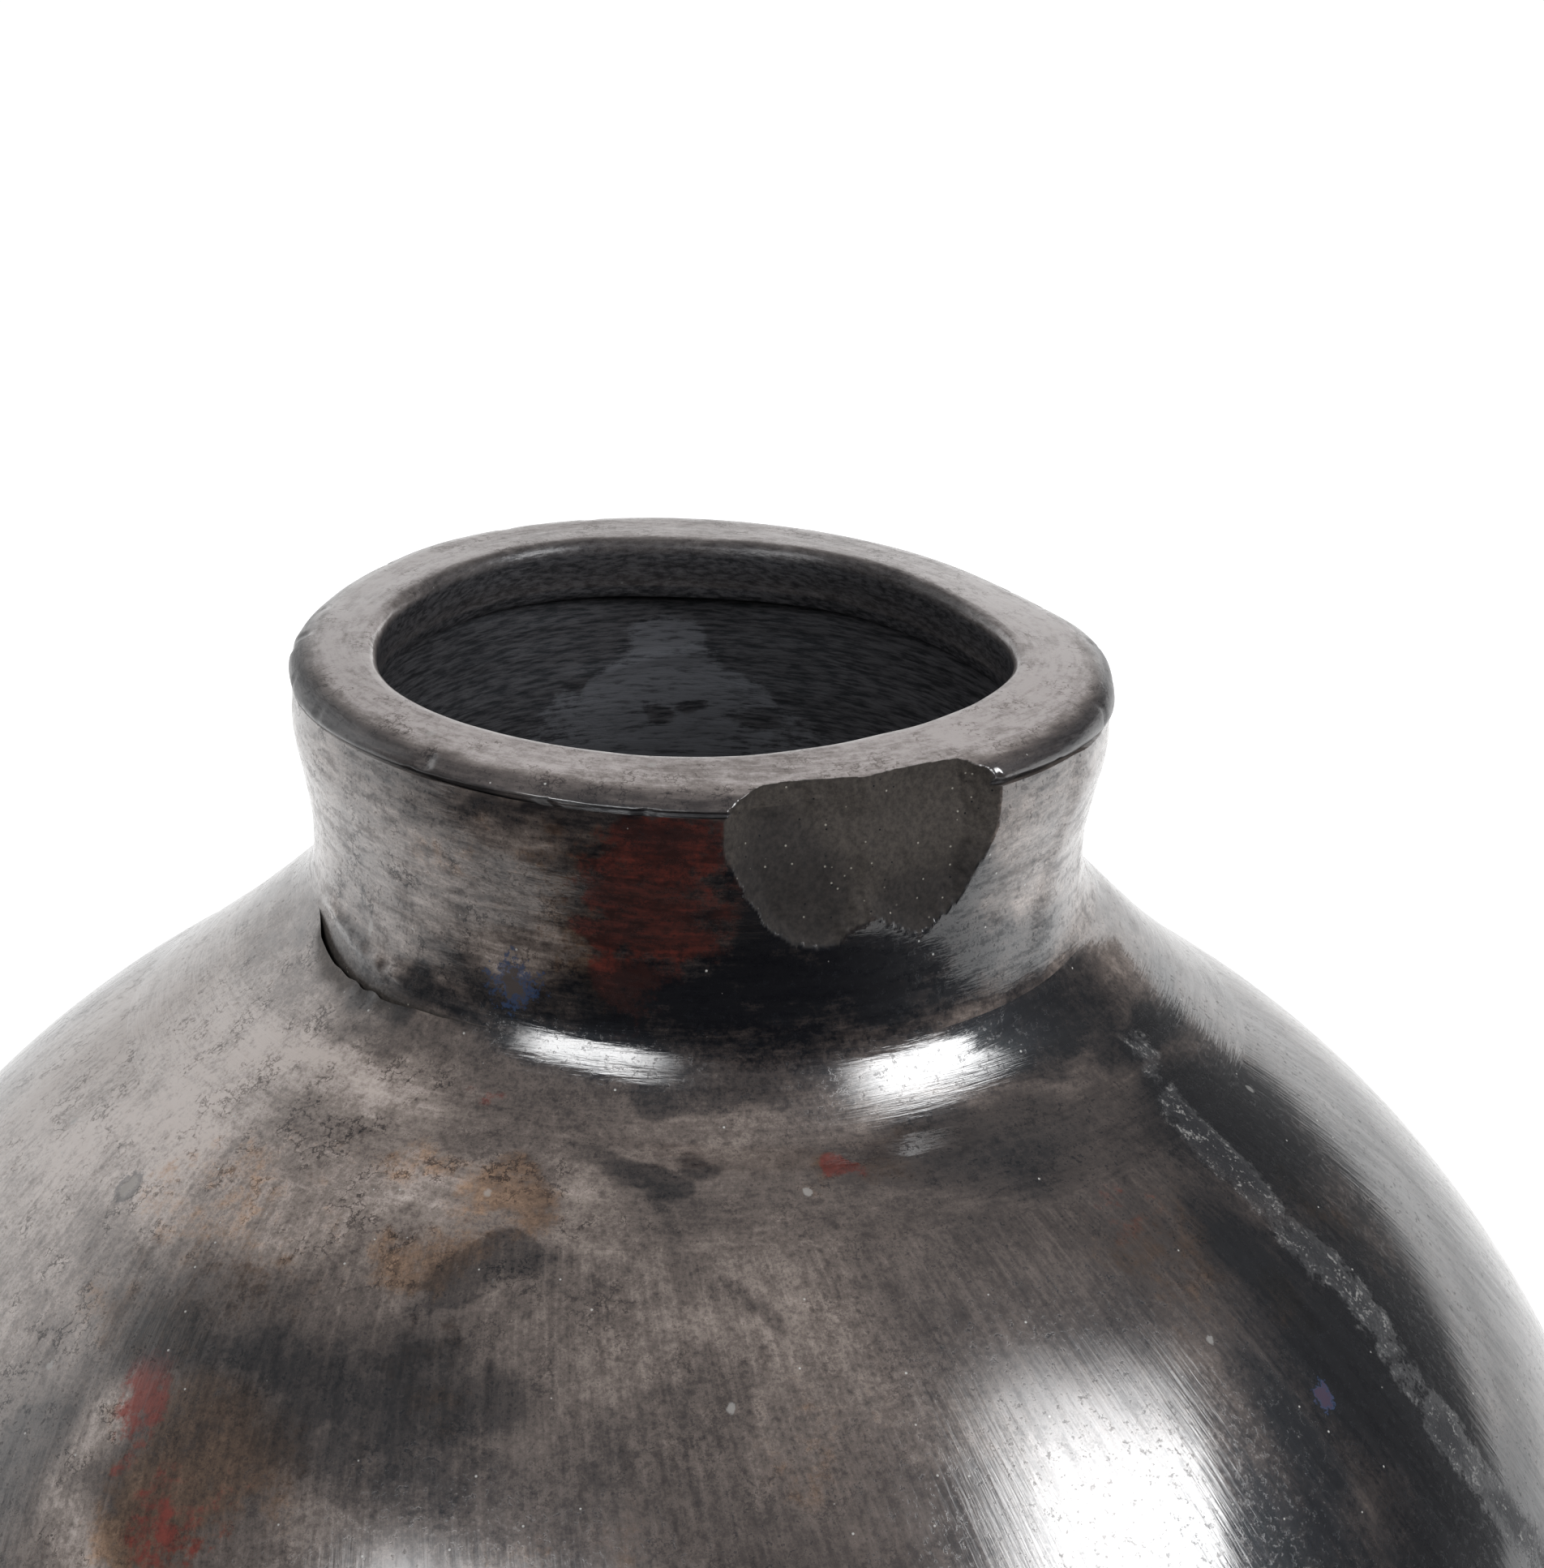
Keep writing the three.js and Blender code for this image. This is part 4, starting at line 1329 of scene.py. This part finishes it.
WALL_LEAN = -0.63
WALL_LEVEL = 0.33
WALL_SIDES = (0.10, 0.38)
WALL_LOW_EDGES = (-0.50, -0.055)
WALL_HIGH_EDGES = (0.35, -0.03)
WALL_DEPTHS = (0.1, 0.4)
LEFT_GLOW = 0.88
LEFT_SIDES = (-0.62, -0.32)
LEFT_HEIGHTS = (0.42, 0.80)
LEFT_DEPTHS = (-0.1, 0.3)
ROOM_GLOW = (0.03, 0.10)
ROOM_DEPTHS = (-0.9, -0.2)
CEILING_GLOW = 0.12
CEILING_HEIGHTS = (0.3, 0.95)
world = bpy.data.worlds.new("studio")
scene.world = world
world.use_nodes = True
sky = Recipe(world.node_tree)
towards = sky.add("SeparateXYZ", {"Vector": sky.add("TexCoord", {}).outputs["Generated"]}).outputs
above = sky.total(towards["Z"], sky.times(towards["Y"], WALL_LEAN), WALL_LEVEL)
low_edge = sky.ramp(towards["X"], *WALL_SIDES, *WALL_LOW_EDGES)
high_edge = sky.ramp(towards["X"], *WALL_SIDES, *WALL_HIGH_EDGES)
bright_wall = sky.times(
    sky.ramp(above, low_edge, high_edge, 1.0, 0.0), sky.ramp(towards["Y"], *WALL_DEPTHS)
)
left_wall = sky.times(
    sky.ramp(towards["X"], *LEFT_SIDES, 1.0, 0.0),
    sky.ramp(towards["Z"], *LEFT_HEIGHTS, 1.0, 0.0),
    sky.ramp(towards["Y"], *LEFT_DEPTHS, 0.0, LEFT_GLOW),
)
brightness = sky.total(
    sky.math("MAXIMUM", bright_wall, left_wall),
    sky.ramp(towards["Y"], *ROOM_DEPTHS, *ROOM_GLOW),
    sky.ramp(towards["Z"], *CEILING_HEIGHTS, 0.0, CEILING_GLOW),
)
camera_rays = sky.add("LightPath", {}).outputs["Is Camera Ray"]
background = world.node_tree.nodes["Background"]
sky.put(background.inputs["Strength"], sky.math("MAXIMUM", brightness, camera_rays))
background.inputs["Color"].default_value = (1, 1, 1, 1)

SOFT_BOX_AIM = Vector((0, 0, 150 * MM))
SOFT_BOX_DISTANCE = 1.2
# Soft boxes: name, direction, direction across, width and height, fades at the left, right,
# bottom and top, and radiance.
SOFT_BOXES = [
    (
        "soft_box_right", (0.749, -0.341, 0.570), (0.60, 0.62, -0.50),
        (0.74, 1.05), (0.45, 0.15, 0.3, 0.45), 12,
    ),
    (
        "soft_box_left", (-0.362, -0.760, 0.540), (0.903, -0.430, 0),
        (1.08, 0.62), (0.3, 0.4, 0.3, 0.5), 9,
    ),
]
for name, facing, across, (width, tall), (left, right, bottom, top), radiance in SOFT_BOXES:
    light = bpy.data.lights.new(name, "AREA")
    light.shape = "RECTANGLE"
    light.size = width
    light.size_y = tall
    light.energy = radiance * math.pi * width * tall
    light.use_nodes = True
    cloth = Recipe(light.node_tree)
    on_cloth = cloth.add("NewGeometry", {}).outputs["Parametric"]
    on_cloth = cloth.add("SeparateXYZ", {"Vector": on_cloth}).outputs
    fades = [
        cloth.ramp(on_cloth["X"], 0, left),
        cloth.ramp(on_cloth["X"], 1, 1 - right),
        cloth.ramp(on_cloth["Y"], 0, bottom),
        cloth.ramp(on_cloth["Y"], 1, 1 - top),
    ]
    cloth.put(light.node_tree.nodes["Emission"].inputs["Strength"], cloth.times(*fades))
    lamp = bpy.data.objects.new(name, light)
    scene.collection.objects.link(lamp)
    facing = Vector(facing).normalized()
    upward = facing.cross(Vector(across)).normalized()
    lamp.location = SOFT_BOX_AIM + facing * SOFT_BOX_DISTANCE
    lamp.rotation_euler = Matrix((upward.cross(facing), upward, facing)).transposed().to_euler()

CAMERA_AIM = Vector((7.67 * MM, 0, RIM_HEIGHT - 14.0 * MM))
CAMERA_DISTANCE = 700 * MM
CAMERA_ELEVATION = math.radians(20.95)
CAMERA_ROLL = math.radians(1.0)
FOCAL_PIXELS = 9150
FRAME_LONG_SIDE = 1933
SENSOR = 36
camera_data = bpy.data.cameras.new("camera")
camera_data.sensor_width = SENSOR
camera_data.lens = SENSOR * FOCAL_PIXELS / FRAME_LONG_SIDE
camera_data.clip_end = 20
camera = bpy.data.objects.new("camera", camera_data)
scene.collection.objects.link(camera)
from_aim = Vector((0, -math.cos(CAMERA_ELEVATION), math.sin(CAMERA_ELEVATION)))
level = Vector((1, 0, 0))
camera_side = level * math.cos(CAMERA_ROLL) + from_aim.cross(level) * math.sin(CAMERA_ROLL)
camera_up = from_aim.cross(camera_side)
camera.rotation_euler = Matrix((camera_side, camera_up, from_aim)).transposed().to_euler()
camera.location = CAMERA_AIM + CAMERA_DISTANCE * from_aim
scene.camera = camera
